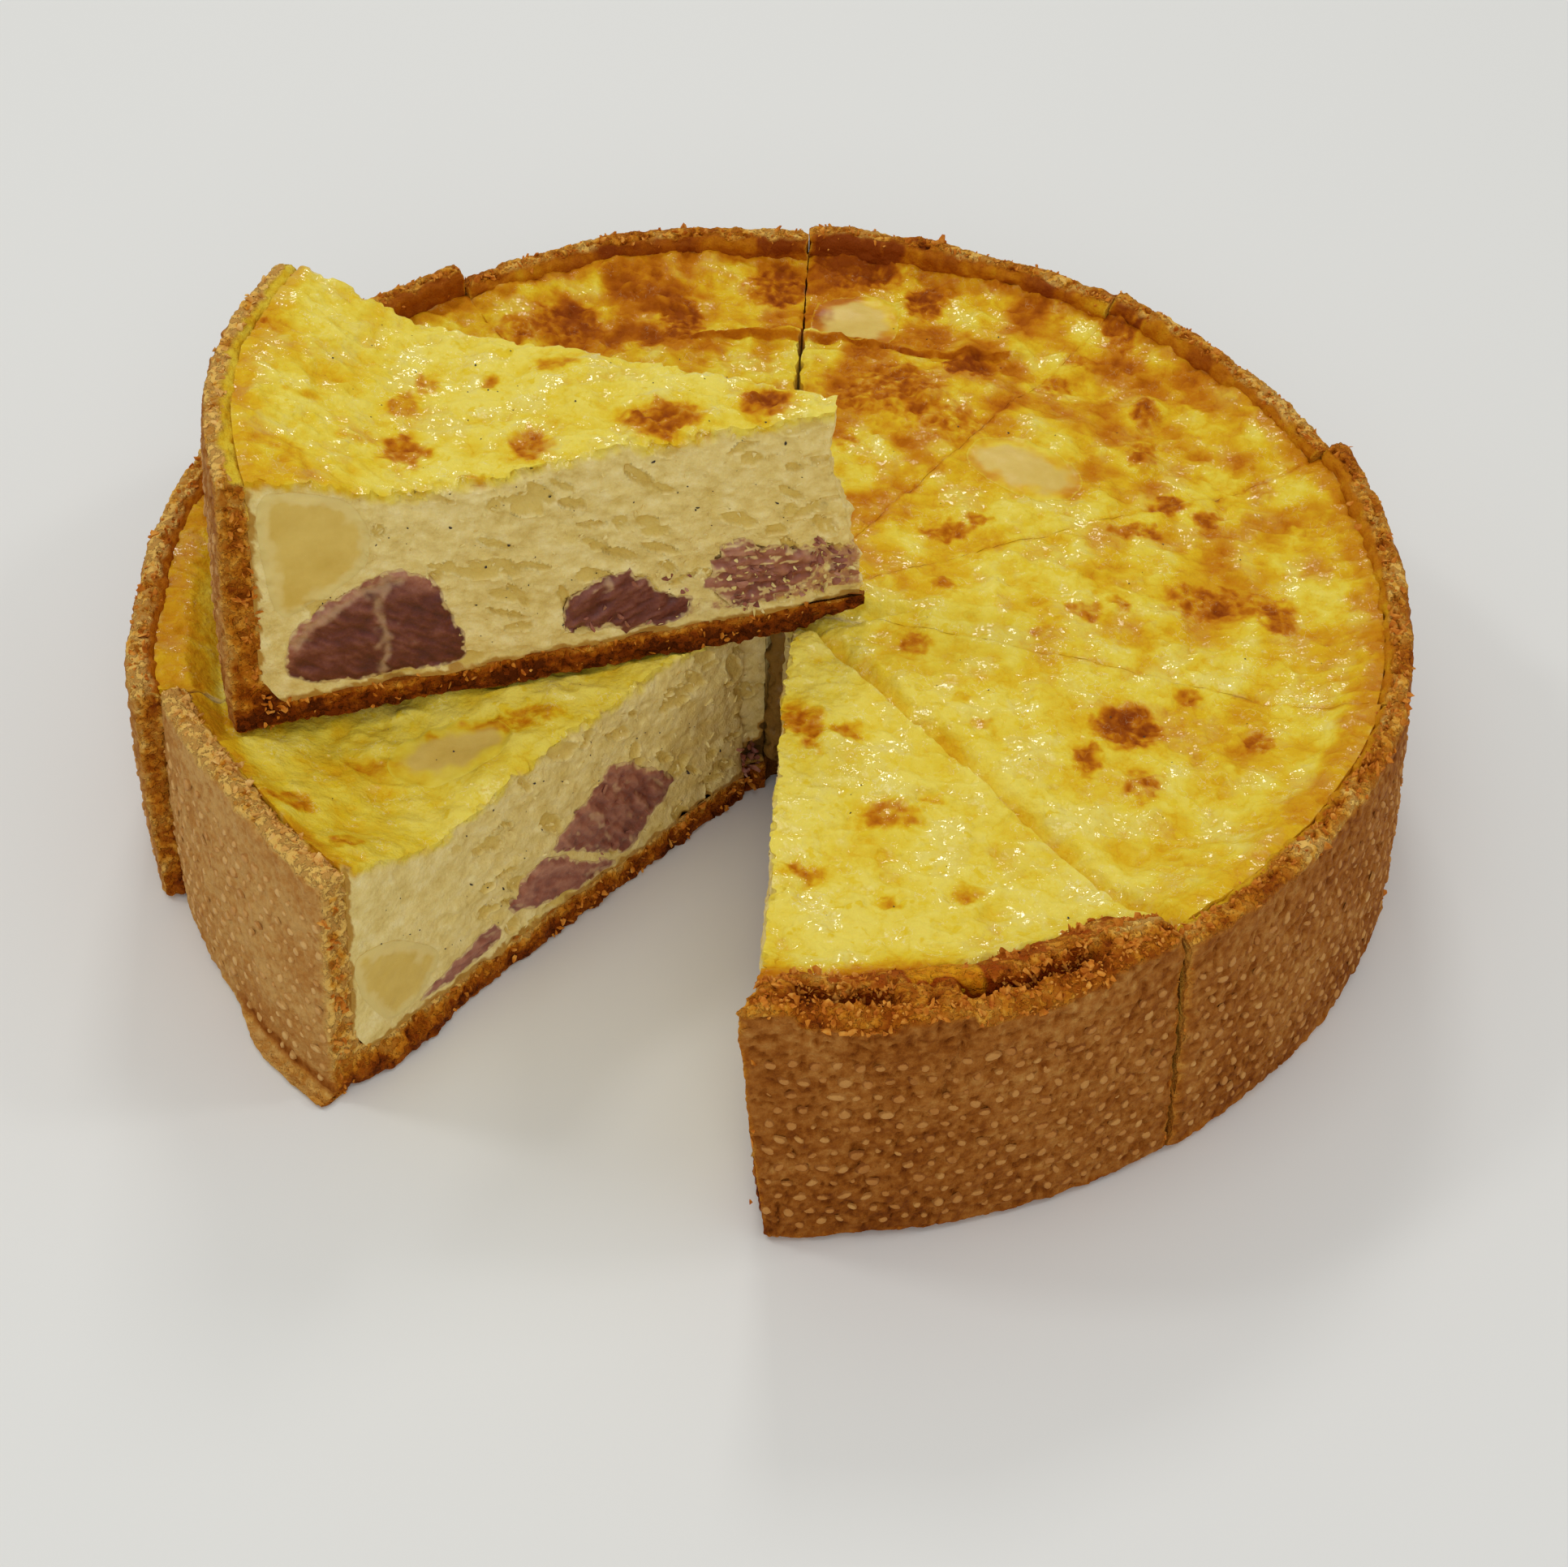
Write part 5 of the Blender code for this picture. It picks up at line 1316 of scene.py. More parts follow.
def custard_finish():
    f = Finish("baked_custard", (0.78, 0.54, 0.06), Specular_IOR_Level=0.03, Coat_Roughness=0.08, Coat_IOR=1.7,
               Subsurface_Weight=0.06, Subsurface_Radius=(0.002, 0.0012, 0.0004), Subsurface_Scale=1.0)
    folds = f.value("ABSOLUTE", f.value("SUBTRACT", f.noise(7.0, 5.0, 0.55), 0.5))
    spread = f.value("ADD", f.spread(f.noise(10.0, 3.0), 0.743, 0.14), f.between(0.0, 0.035, folds, 0.06, 0.0))
    browned = f.effect(browned_top, Browning=f.value("ADD", f.mark("brown"), spread), Mottle=0.2)
    top = browned["Color"]
    creams = ((0.3, (0.71, 0.52, 0.155)), (0.5, (0.84, 0.665, 0.25)), (0.7, (0.93, 0.78, 0.37)))
    cream = colour_ramp(f.tree, creams, f.noise(4.0, 6.0, 0.65))
    cream = f.blend(f.between(0.1, 1.0, f.mark("hollow"), 0.0, 0.85), cream, (0.72, 0.52, 0.125))
    # Damp custard turns olive brown, and where the mark goes over 1 it is painted shade, near black brown.
    cream = f.blend(f.between(0.2, 0.9, f.mark("soaked")), cream, (0.50, 0.27, 0.05))
    cream = f.blend(f.between(1.1, 1.8, f.mark("soaked")), cream, (0.13, 0.065, 0.015))
    stain = f.value("ADD", f.mark("blush"), f.spread(f.noise(2.2, 5.0, 0.65), 0.5, 3.0))
    cream = f.blend(f.between(0.5, 1.1, stain, 0.0, 0.85), cream, (0.47, 0.20, 0.12))
    plain = f.value("SUBTRACT", 1.0, f.value("MULTIPLY", f.mark("brown"), 2.0), clamp=True)
    drop = f.value("MULTIPLY", f.between(0.61, 0.66, f.noise(3.2, 2.0)), plain)
    top = f.blend(f.value("MULTIPLY", drop, 0.85), top, (0.80, 0.57, 0.016))
    # Painted highlights: thin pale squiggles in patches stand for the glints of the wet top, fewer where it is
    # brown.
    glint_threads = f.value("ABSOLUTE", f.value("SUBTRACT", f.noise(1.8, 2.0, 0.5), 0.5))
    patch = f.between(0.52, 0.62, f.noise(6.0, 3.0))
    painted_glints = f.value("MULTIPLY", f.between(0.004, 0.022, glint_threads, 1.0, 0.0), patch)
    painted_glints = f.value("MULTIPLY", f.value("MULTIPLY", painted_glints, 0.45), f.value("ADD", plain, 0.25, clamp=True))
    top = f.blend(painted_glints, top, (0.98, 0.88, 0.50))
    colour = f.blend(f.mark("cut"), top, cream)
    gloss = f.between(0.3, 0.7, browned["Speckle"], 0.3, 0.5)
    roughness = f.value("ADD", gloss, f.value("MULTIPLY", f.value("ADD", f.mark("cut"), f.mark("brown")), 0.14))
    normal = f.bump(f.noise(3.2, 3.0, 0.5), 1.1, 0.6, f.grain(1.1, 0.5, 0.7, 4.0))
    f.put(f.shader.inputs["Coat Normal"], f.bump(f.noise(1.6, 2.0, 0.5), 0.42, 0.8))
    dry = f.value("ADD", f.value("MULTIPLY", f.mark("cut"), 0.7), f.value("MULTIPLY", f.mark("brown"), 1.5))
    patches = f.between(0.49, 0.59, f.noise(8.0, 4.0, 0.6), 0.03, 1.0)
    moist = f.value("MULTIPLY", f.value("SUBTRACT", 1.0, dry, clamp=True), patches)
    f.put(f.shader.inputs["Coat Weight"], moist)
    return f.finish(colour, roughness, normal)


def crust_finish():
    f = Finish("baked_crust", (0.42, 0.17, 0.03), Specular_IOR_Level=0.05)
    medium = f.noise(4.0, 6.0, 0.68)

    def tone(mark, amount):
        return f.value("ADD", f.mark(mark), f.spread(medium, 0.5, amount))

    smooth = f.effect(oven_tone, Bake=tone("bake", 0.34), Size=0.8, Amount=0.5)["Tone"]
    broken = f.effect(oven_tone, Bake=tone("bake", 0.3), Size=0.8, Amount=0.7)["Tone"]
    skin, crumb = colour_ramp(f.tree, CRUST_COLOURS, smooth), colour_ramp(f.tree, CRUMB_COLOURS, broken)
    colour = f.blend(f.mark("crumb"), skin, crumb)
    # Painted shade: broken crumb is darker where its chunky bump is low, between the chunks.
    chunk = f.between(0.44, 0.56, f.noise(1.9, 3.0, 0.6))
    dark = f.value("MULTIPLY", f.between(0.40, 0.5, chunk, 0.45, 0.0), f.mark("crumb"))
    colour = f.blend(dark, colour, (0.27, 0.048, 0.002))
    colour = f.blend(f.between(0.0, 0.5, f.mark("caramel"), 0.0, 0.9), colour, (0.36, 0.056, 0.0015))
    golden = f.blend(f.between(0.35, 0.65, medium), (0.62, 0.19, 0.004), (0.80, 0.36, 0.010))
    colour = f.blend(f.between(0.55, 1.0, f.mark("caramel")), colour, golden)
    coat = f.effect(browned_top, Browning=tone("tan", 0.3), Mottle=0.4)["Color"]
    colour = f.blend(f.mark("coat"), colour, coat)
    bare = f.value("MULTIPLY", f.mark("crumb"), f.value("SUBTRACT", 1.0, f.mark("coat")))
    roughness = f.value("SUBTRACT", f.between(0.3, 0.7, medium, 0.55, 0.75),
                        f.value("MULTIPLY", f.mark("caramel"), 0.35))
    normal = f.bump(f.noise(2.0, 4.0, 0.65), 1.1, 0.6, f.grain(0.8, 0.7, 0.75, 4.0, 0.7))
    normal = f.bump(f.value("MULTIPLY", chunk, bare), 0.5, 0.8, normal)
    return f.finish(colour, roughness, normal)


def dot_finish():
    f = Finish("crust_dots", (0.6, 0.3, 0.09), Specular_IOR_Level=0.1)
    baked = f.effect(oven_tone, Bake=f.mark("bake"), Size=1.6, Amount=0.6)
    tone = baked["Tone"]
    raised = ((0.0, (0.74, 0.44, 0.15)), (0.25, (0.62, 0.31, 0.085)), (0.65, (0.50, 0.20, 0.042)),
              (1.0, (0.34, 0.12, 0.02)))
    wall = ((0.0, (0.56, 0.29, 0.080)), (0.25, (0.46, 0.20, 0.042)), (0.65, (0.30, 0.095, 0.014)),
            (1.0, (0.18, 0.045, 0.005)))
    foot = f.value("ADD", f.mark("edge"), f.value("MULTIPLY", baked["Grit"], 1.2))
    colour = f.blend(f.between(0.3, 0.75, foot), colour_ramp(f.tree, raised, tone),
                     colour_ramp(f.tree, wall, tone))
    return f.finish(colour, f.between(0.0, 1.0, tone, 0.5, 0.7), f.grain(0.9, 0.5, 0.7, 4.0, 0.7))


def crumb_finish():
    f = Finish("loose_crumbs", (0.5, 0.22, 0.04), Specular_IOR_Level=0.14)
    tone = f.noise(2.2, 3.0)
    brown = ((0.3, (0.42, 0.092, 0.003)), (0.5, (0.64, 0.215, 0.017)), (0.7, (0.82, 0.40, 0.070)))
    golden = ((0.3, (0.62, 0.27, 0.040)), (0.5, (0.80, 0.45, 0.11)), (0.7, (0.90, 0.62, 0.22)))
    colour = f.blend(f.mark("bake"), colour_ramp(f.tree, brown, tone), colour_ramp(f.tree, golden, tone))
    return f.finish(colour, f.between(0.3, 0.7, tone, 0.6, 0.8), f.grain(0.6, 0.3, 0.6))


def ham_finish():
    f = Finish("cooked_ham", (0.32, 0.12, 0.07), Specular_IOR_Level=0.2, Coat_Weight=0.3, Coat_Roughness=0.22,
               Subsurface_Weight=0.08, Subsurface_Radius=(0.002, 0.0006, 0.0004), Subsurface_Scale=1.0)
    streak = f.noise(2.4, 5.0, 0.65)
    tone = f.value("ADD", f.value("MULTIPLY", f.mark("shade"), 0.6), f.spread(streak, 0.3, 0.75), clamp=True)
    meat = ((0.0, (0.17, 0.045, 0.028)), (0.35, (0.31, 0.098, 0.058)), (0.65, (0.45, 0.19, 0.115)),
            (1.0, (0.64, 0.37, 0.235)))
    deep = ((0.0, (0.065, 0.012, 0.009)), (0.4, (0.145, 0.032, 0.021)), (0.75, (0.25, 0.078, 0.052)),
            (1.0, (0.42, 0.19, 0.13)))
    flesh = f.blend(f.between(0.0, 0.75, f.mark("dark")), colour_ramp(f.tree, meat, tone),
                    colour_ramp(f.tree, deep, tone))
    pale = f.blend(f.between(0.5, 0.9, f.mark("fat"), 0.0, 0.7), flesh, (0.60, 0.38, 0.20))
    pale = f.blend(f.between(0.2, 0.8, f.mark("smear"), 0.0, 0.9), pale, (0.76, 0.56, 0.24))
    f.put(f.shader.inputs["Coat Normal"], f.bump(streak, 0.6, 0.6))
    return f.finish(pale, f.between(0.3, 0.7, streak, 0.38, 0.55), f.grain(0.9, 0.4, 0.6, 4.0, 0.7))


def potato_finish():
    f = Finish("boiled_potato", (0.68, 0.46, 0.11), Specular_IOR_Level=0.1, Coat_Weight=0.08, Coat_Roughness=0.2,
               Subsurface_Weight=0.15, Subsurface_Radius=(0.004, 0.0025, 0.001), Subsurface_Scale=1.0)
    tone = f.noise(7.0, 4.0)
    flesh = colour_ramp(f.tree, ((0.3, (0.67, 0.455, 0.09)), (0.7, (0.76, 0.55, 0.135))), tone)
    glow = f.effect(browned_top, Browning=f.mark("brown"), Mottle=0.24)["Color"]
    colour = f.blend(f.between(0.05, 0.95, f.mark("rim")), flesh, glow)
    colour = f.blend(f.between(0.2, 0.9, f.mark("smear"), 0.0, 0.9), colour, (0.80, 0.62, 0.22))
    return f.finish(colour, f.between(0.3, 0.7, tone, 0.34, 0.46), f.grain(1.6, 0.3, 0.3))


def pepper_finish():
    f = Finish("ground_pepper", (0.02, 0.014, 0.01))
    blacks = ((0.3, (0.012, 0.008, 0.005)), (0.7, (0.05, 0.03, 0.018)))
    return f.finish(colour_ramp(f.tree, blacks, f.noise(1.0)), f.between(0.3, 0.7, f.noise(0.8), 0.5, 0.7),
                    f.grain(0.8, 0.1, 0.5))


# ---- scattered grains
def scatter_tree():
    """Geometry nodes that set a shape on each point, facing out, uneven in size and turned at random."""
    tree = bpy.data.node_groups.new("scattered_grains", "GeometryNodeTree")
    for label, kind in {"Geometry": "Geometry", "Shape": "Object", "Material": "Material", "Size": "Float",
                        "Unevenness": "Float", "Tumble": "Vector", "Seed": "Int"}.items():
        tree.interface.new_socket(label, in_out="INPUT", socket_type="NodeSocket" + kind)
    tree.interface.new_socket("Geometry", in_out="OUTPUT", socket_type="NodeSocketGeometry")
    given = tree.nodes.new("NodeGroupInput").outputs

    def made(kind, inputs, output=0, **settings):
        """An output of a new node, with its settings and its inputs set or linked."""
        node = tree.nodes.new(kind)
        for label, value in settings.items():
            setattr(node, label, value)
        for socket, value in inputs.items():
            if isinstance(value, bpy.types.NodeSocket):
                tree.links.new(value, node.inputs[socket])
            else:
                node.inputs[socket].default_value = value
        return node.outputs[output]

    facing, stretch = (made("GeometryNodeInputNamedAttribute", {"Name": label}, "Attribute",
                            data_type="FLOAT_VECTOR") for label in ("facing", "stretch"))
    upright = made("FunctionNodeAlignRotationToVector", {"Vector": facing}, axis="Z")
    spin = made("FunctionNodeRandomValue", {"Min": (-math.pi,) * 3, "Max": (math.pi,) * 3,
                                            "Seed": given["Seed"]}, data_type="FLOAT_VECTOR")
    turn = made("ShaderNodeVectorMath", {0: spin, 1: given["Tumble"]}, operation="MULTIPLY")
    turned = made("FunctionNodeRotateRotation", {0: upright, 1: made("FunctionNodeEulerToRotation", {0: turn})},
                  rotation_space="LOCAL")
    low = made("ShaderNodeMath", {0: 1.0, 1: given["Unevenness"]}, operation="SUBTRACT")
    high = made("ShaderNodeMath", {0: 1.0, 1: given["Unevenness"]}, operation="ADD")
    vary = made("FunctionNodeRandomValue", {"Min": low, "Max": high, "Seed": given["Seed"]},
                data_type="FLOAT_VECTOR")
    size = made("ShaderNodeVectorMath", {0: vary, "Scale": given["Size"]}, operation="SCALE")
    scale = made("ShaderNodeVectorMath", {0: size, 1: stretch}, operation="MULTIPLY")
    shape = made("GeometryNodeObjectInfo", {"Object": given["Shape"]}, "Geometry")
    grains_set = made("GeometryNodeInstanceOnPoints", {"Points": given["Geometry"], "Instance": shape,
                                                       "Rotation": turned, "Scale": scale})
    solid = made("GeometryNodeRealizeInstances", {0: grains_set})
    painted = made("GeometryNodeSetMaterial", {"Geometry": solid, "Material": given["Material"]})
    tree.links.new(painted, tree.nodes.new("NodeGroupOutput").inputs[0])
    return tree


class Sprinkle:
    """Places for many small like things: where each faces, its stretch, and a shade that its colour follows."""

    def __init__(self):
        self.points, self.facings, self.stretches, self.shades = [], [], [], []

    def add(self, wedge, spot, facing, stretch, shade=0.0):
        """spot, in mm, and facing are those of the slice before it is lifted."""
        self.points.append(placed(spot[None], wedge.lifted)[0])
        self.facings.append(np.array(LIFT)[:3, :3] @ facing if wedge.lifted else facing)
        self.stretches.append(stretch)
        self.shades.append(shade)


def scattered(name, slot, bits, shape, material, size, unevenness, tumble, seed, mark="bake"):
    """A mesh of many small like things, about this size in mm; mark names their shade for the material."""
    mesh = bpy.data.meshes.new(name)
    mesh.from_pydata(np.array(bits.points).tolist(), [], [])
    for label, values in (("facing", bits.facings), ("stretch", bits.stretches)):
        layer = mesh.attributes.new(label, "FLOAT_VECTOR", "POINT")
        layer.data.foreach_set("vector", np.asarray(values, np.float32).ravel())
    mesh.attributes.new(mark, "FLOAT", "POINT").data.foreach_set("value", np.asarray(bits.shades, np.float32))
    holder = bpy.data.objects.new(name, mesh)
    bpy.context.scene.collection.objects.link(holder)
    modifier = holder.modifiers.new("scatter", "NODES")
    modifier.node_group = grain_tree
    sockets = {item.name: item.identifier for item in grain_tree.interface.items_tree if item.in_out == "INPUT"}
    for label, value in {"Shape": shape, "Material": material, "Size": size * MM, "Unevenness": unevenness,
                         "Tumble": tumble, "Seed": seed}.items():
        modifier[sockets[label]] = value
    bpy.context.view_layer.update()
    done = bpy.data.meshes.new_from_object(holder.evaluated_get(bpy.context.evaluated_depsgraph_get()))
    holder.modifiers.remove(modifier)
    holder.data = done
    done.name = name
    done.polygons.foreach_set("use_smooth", np.ones(len(done.polygons), bool))
    done.set_sharp_from_angle(angle=math.radians(50.0))
    keep(holder, slot)


def shape_object(name, maker):
    mesh = bpy.data.meshes.new(name)
    tool = bmesh.new()
    maker(tool)
    bmesh.ops.recalc_face_normals(tool, faces=tool.faces)
    tool.to_mesh(mesh)
    tool.free()
    return bpy.data.objects.new(name, mesh)


def dome(tool):
    """A low uneven dot, about one unit in radius, with a sunk foot; its edge mark is 1 at the foot."""
    edge, sides = tool.verts.layers.float.new("edge"), 10
    lobes = np.random.default_rng(2).uniform(0.8, 1.15, (3, sides))
    rings = []
    for row, (radius, height, away) in enumerate(((1.2, -0.4, 1.0), (1.0, 0.06, 0.7), (0.6, 0.36, 0.0))):
        rings.append([])
        for k in range(sides):
            wide, angle = radius * mix(lobes[0, k], lobes[row, k], 0.4), k * math.tau / sides
            vertex = tool.verts.new((wide * math.cos(angle), wide * math.sin(angle), height))
            vertex[edge] = away
            rings[-1].append(vertex)
    for a, b in zip(rings, rings[1:]):
        for k in range(sides):
            tool.faces.new((a[k], a[(k + 1) % sides], b[(k + 1) % sides], b[k]))
    tool.faces.new(rings[-1])
    tool.faces.new(rings[0][::-1])


def broken_crumb(tool):
    """A broken crumb of twenty faces."""
    bmesh.ops.create_icosphere(tool, subdivisions=1, radius=1.0)
    draw = np.random.default_rng(3)
    for vertex in tool.verts:
        vertex.co *= float(draw.uniform(0.45, 1.25))


# ---- building the quiche
def slice_wedges():
    wedges = {}
    for label, spec in SLICES.items():
        start, end = CUTS[spec["start"]], CUTS[spec["end"]]
        first = CUT_CENTRE + across(start["at"]) * start["after"], start["at"]
        last = CUT_CENTRE + across(end["at"]) * end["before"], end["at"]
        wedges[label] = Wedge(label, spec, first, last, quiche_level, quiche_brown)
    first, last = ((0.0, 0.0), -LIFTED_HALF_ANGLE), ((0.0, 0.0), LIFTED_HALF_ANGLE)
    wedges["lifted"] = Wedge("lifted", LIFTED, first, last, lifted_level, lifted_brown, LIFTED_BASE, True)
    return wedges


def face_reliefs(wedge):
    """Reliefs of the custard and of the crust at the slice's two faces."""
    custard, crust = {}, {}
    for side in "se":
        point, along, _ = wedge.face_frame(side)
        seed, letter = wedge.seed + ord(side), wedge.cut_at(side)

        def top(u, point=point, along=along):
            return wedge.level(*(point + along * np.asarray(u)[:, None]).T)

        if not wedge.is_open(side):
            close, wavy = 0.5 * (CUTS[letter]["after"] - CUTS[letter]["before"]), letter in GROOVES
            s = 0.0 if side == "s" else 1.0
            outer = (wedge.near(s, wedge.reach(s, wedge.outer_radius(s, 40.0)), 0.0)[:2] - point) @ along
            custard[side] = seam_relief(seed, close + 0.01 * wavy, 0.45 if wavy else 0.1,
                                        parting={"G": 1.5}.get(letter, 0.0), open_from=43.0)
            crust[side] = seam_relief(seed, close + 0.02, 0.1, outer, {"C": 1.2, "G": 1.5}.get(letter, 0.5))
        elif wedge.label == "ja":
            def hanging(u, z):
                flange = 2.4 * ease(90.0, 100.0, u) * ease(124.0, 112.0, u) * ease(6.5, 2.5, z)
                return flange + 0.5 * ease(7.0, 3.0, z)

            custard[side] = curd_relief(seed, top, 32.0, LEFT_FACE.values(), 84.0, LEFT_FACE_START)
            crust[side] = crumb_relief(seed, hanging)
        elif wedge.label == "bc":
            def leaning(u, z):
                wall = np.interp(z, (0, 10, 28, 44, 57), (-2.6, -1.8, 0.4, 2.4, 5.2))
                return wall * ease(112.0, 124.0, u) - 0.3 * ease(7.5, 3.0, z)

            custard[side] = curd_relief(seed, top, 22.0)
            crust[side] = crumb_relief(seed, leaning, 0.75)
        else:
            showing = LIFTED_FACE.values() if (wedge.label, side) == ("lifted", "e") else ()
            custard[side] = curd_relief(seed, top, 22.0, showing)
            crust[side] = crumb_relief(seed, lambda u, z: 0.7 * ease(7.5, 3.0, z))
    return custard, crust


def keep(piece, slot, *nodes):
    """Hands a piece to the frame, in the place of the nodes it dresses."""
    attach(piece, "root")
    if nodes:
        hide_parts(*nodes)


def torn_middle():
    """The torn point where the standing slices meet, seen at the back of the open gap, dark with painted shade."""
    low, high = 7.2, 48.6
    rows, columns = int(41.0 / POINT_SPACING), int(19.0 / POINT_SPACING)
    z = np.linspace(low, high, rows)
    angle = np.linspace(0, math.tau, columns, endpoint=False)
    rounded = np.repeat(np.stack([np.cos(angle), np.sin(angle)], axis=1)[None], rows, axis=0)
    points = np.concatenate([rounded * 2.6, np.broadcast_to(z[:, None, None], (rows, columns, 1))], axis=2)
    flat = points.reshape(-1, 3)
    reach = 0.9 * rough(flat, 5.0, 143, 3) - 0.7 * ease(0.1, 0.6, ripple(flat, 2.6, 144))
    reach = reach.reshape(rows, columns, 1) - 1.2 * ease(3.0, 0.0, np.minimum(z - low, high - z))[:, None, None]
    points[..., :2] = CUT_CENTRE + points[..., :2] + rounded * reach
    dents = np.clip(-0.7 * reach[..., 0], 0, 1)
    skin = Skin("cut", "hollow", "brown", "soaked")
    # A mark of 1.5 paints it dark, as the shade at the back of the gap.
    skin.grid(np.concatenate([points, points[:, :1]], axis=1), cut=1.0, soaked=1.5,
              hollow=np.concatenate([dents, dents[:, :1]], axis=1))
    for ring in (points[0], points[-1]):
        skin.polygon(ring, cut=1.0)
    points, marks, faces = skin.welded()
    return make_piece("torn_middle", points, faces, marks, [custard_material])


def wall_dots():
    """The dots of a perforated ring: rows of even pitch, every other row half a pitch on."""
    draw, dots = np.random.default_rng(21), Sprinkle()
    pitch, row_height, first_row = 4.2, 3.7, 5.0
    for label, skin in skins.items():
        wedge = WEDGES[label]
        grid, normals, profile, crumb = (skin[key] for key in ("points", "normals", "profile", "crumb"))
        columns, steps = profile.shape
        wall = np.arange(steps)[(profile[0] > 3.0) & (profile[0] < 9.0)]
        heights = grid[columns // 2, wall, 2]
        arc = np.linalg.norm(np.diff(grid[:, wall[len(wall) // 2], :2], axis=0), axis=1).sum()
        top = wedge.spec["height"] - 8.5 - (1.5 if label == "bc" else 0.0)
        rows, count = int((top - first_row) / row_height) + 1, int(arc / pitch) + 1
        for row, k in itertools.product(range(rows), range(count)):
            along = (k + 0.5 * (row % 2) + 0.25) * pitch + draw.normal(0, 0.22)
            level = first_row + row * row_height + draw.normal(0, 0.18)
            column = int(round(along / arc * (columns - 1)))
            if not 2 <= column < columns - 2 or min(along, arc - along) < 1.3:
                continue
            step = wall[int(np.argmin(np.abs(heights - level)))]
            if crumb[column, step] > 0.4 or draw.random() < 0.03:
                continue
            size = draw.normal(1.0, 0.13) * (0.75 if draw.random() < 0.15 else 1.0)
            stretch = (size * draw.uniform(0.85, 1.35), size * draw.uniform(0.75, 1.1), draw.uniform(0.6, 1.2))
            dots.add(wedge, grid[column, step], normals[column, step], stretch,
                     wedge.spec["bake"] + draw.normal(0, 0.1))
    return dots


def rim_crumbs():
    """Loose crumbs on the rims, the crack's lips and the foot."""
    draw, crumbs = np.random.default_rng(22), Sprinkle()
    for label, skin in skins.items():
        grid, normals = skin["points"].reshape(-1, 3), skin["normals"].reshape(-1, 3)
        crumb, profile, coat = (skin[key].ravel() for key in ("crumb", "profile", "coat"))
        weight = np.where((profile > 9.5) & (profile < 16.0), 1.0, 0.25) * (crumb > 0.5) * (1.0 - 0.95 * coat)
        weight *= grid[:, 2] > 1.8
        if label == "bc":
            azimuth = np.degrees(np.arctan2(grid[:, 1], grid[:, 0]))
            weight *= np.where((profile > 10.8) & (profile < 13.1), 0.06, 1.0)
            weight *= np.where(profile > 14.6, 0.25, 1.0)
            weight *= np.where((profile > 12.5) & (azimuth > -79.0) & (azimuth < -70.0), 0.03, 1.0)
        chosen = draw.choice(len(grid), size=RIM_CRUMBS.get(label, 120), replace=False, p=weight / weight.sum())
        for i in chosen:
            size = draw.choice((0.5, 0.9, 1.6), p=(0.5, 0.36, 0.14))
            crumbs.add(WEDGES[label], grid[i] + 0.12 * normals[i], normals[i],
                       (size * draw.uniform(0.9, 1.9), size, size * draw.uniform(0.3, 0.7)),
                       0.9 if label in PALE_RIMS else 0.0)
    return crumbs


def over_piece(label, u, z, margin):
    """Whether a spot of an open face lies on ham or potato, or nearer to it than the margin."""
    faces, start = OPEN_FACES.get(label, OPEN_FACES["lifted"])
    spot = np.array([[u - start, z]])
    return any(inside_by(spot, smooth_line(piece["outline"], 2.0))[0] > -margin for piece in faces.values())


def torn_bits(seed, places, size_range, shade=None):
    """Loose bits on the cut faces: places are (slice, side, count, u range, z range, how far out).

    shade is their colour mark, or None to draw one for each."""
    draw, bits = np.random.default_rng(seed), Sprinkle()
    for label, side, count, u_range, z_range, out in places:
        wedge = WEDGES[label]
        relief, outward = face_reliefs(wedge)[0][side].plain, wedge.face_frame(side)[2]
        for _ in range(count):
            u, z = draw.uniform(*u_range), draw.uniform(*z_range)
            if u < wedge.tip_reach(np.array([z]))[0] + 0.8 or out < 0.2 and over_piece(label, u, z, 0.5):
                continue
            push = relief(np.array([u]), np.array([z]))[0] + draw.uniform(-0.1, out)
            facing = np.array((*outward, 0.0)) + draw.normal(0, 0.35, 3)
            size = draw.uniform(*size_range)
            stretch = [size * draw.uniform(low, high) for low, high in ((1.0, 2.2), (0.6, 1.0), (0.3, 0.7))]
            bits.add(wedge, wedge.face_spot(side, u, z, push), facing, stretch)
    bits.shades = [draw.uniform(0.0, 1.0) if shade is None else shade for _ in bits.points]
    return bits


def pepper_specks():
    """Ground pepper in the open faces and on the top."""
    draw, specks = np.random.default_rng(23), Sprinkle()
    for label, side, count in (("lifted", "e", 60), ("ja", "e", 55), ("lifted", "s", 30), ("bc", "s", 35)):
        wedge = WEDGES[label]
        relief, outward = face_reliefs(wedge)[0][side], wedge.face_frame(side)[2]
        for _ in range(count):
            u, z = draw.uniform(12, 112), draw.uniform(10, 49)
            if over_piece(label, u, z, 0.0):
                continue
            push = relief(np.array([u]), np.array([z]))[0]
            size = draw.uniform(0.5, 1.1) if draw.random() < 0.82 else draw.uniform(1.3, 1.8)
            specks.add(wedge, wedge.face_spot(side, u, z, push), (*outward, 0.0),
                       (size, size * draw.uniform(0.6, 1.0), 0.5 * size))
    for wedge in WEDGES.values():
        for _ in range(30 if wedge.lifted else 9):
            s, far = draw.uniform(0.08, 0.92), 112.0 * math.sqrt(draw.uniform(0.04, 1.0))
            spot = wedge.near(np.array([s]), np.array([far]), 0.0)
            x, y = spot[:, 0], spot[:, 1]
            spot[:, 2] = wedge.top_at(x, y) + custard_fine(x, y, wedge.brown(x, y), wedge.top_layer)
            size = draw.uniform(0.4, 1.1)
            specks.add(wedge, spot[0], (0.0, 0.0, 1.0), (size, size * draw.uniform(0.6, 1.0), 0.5 * size))
    return specks


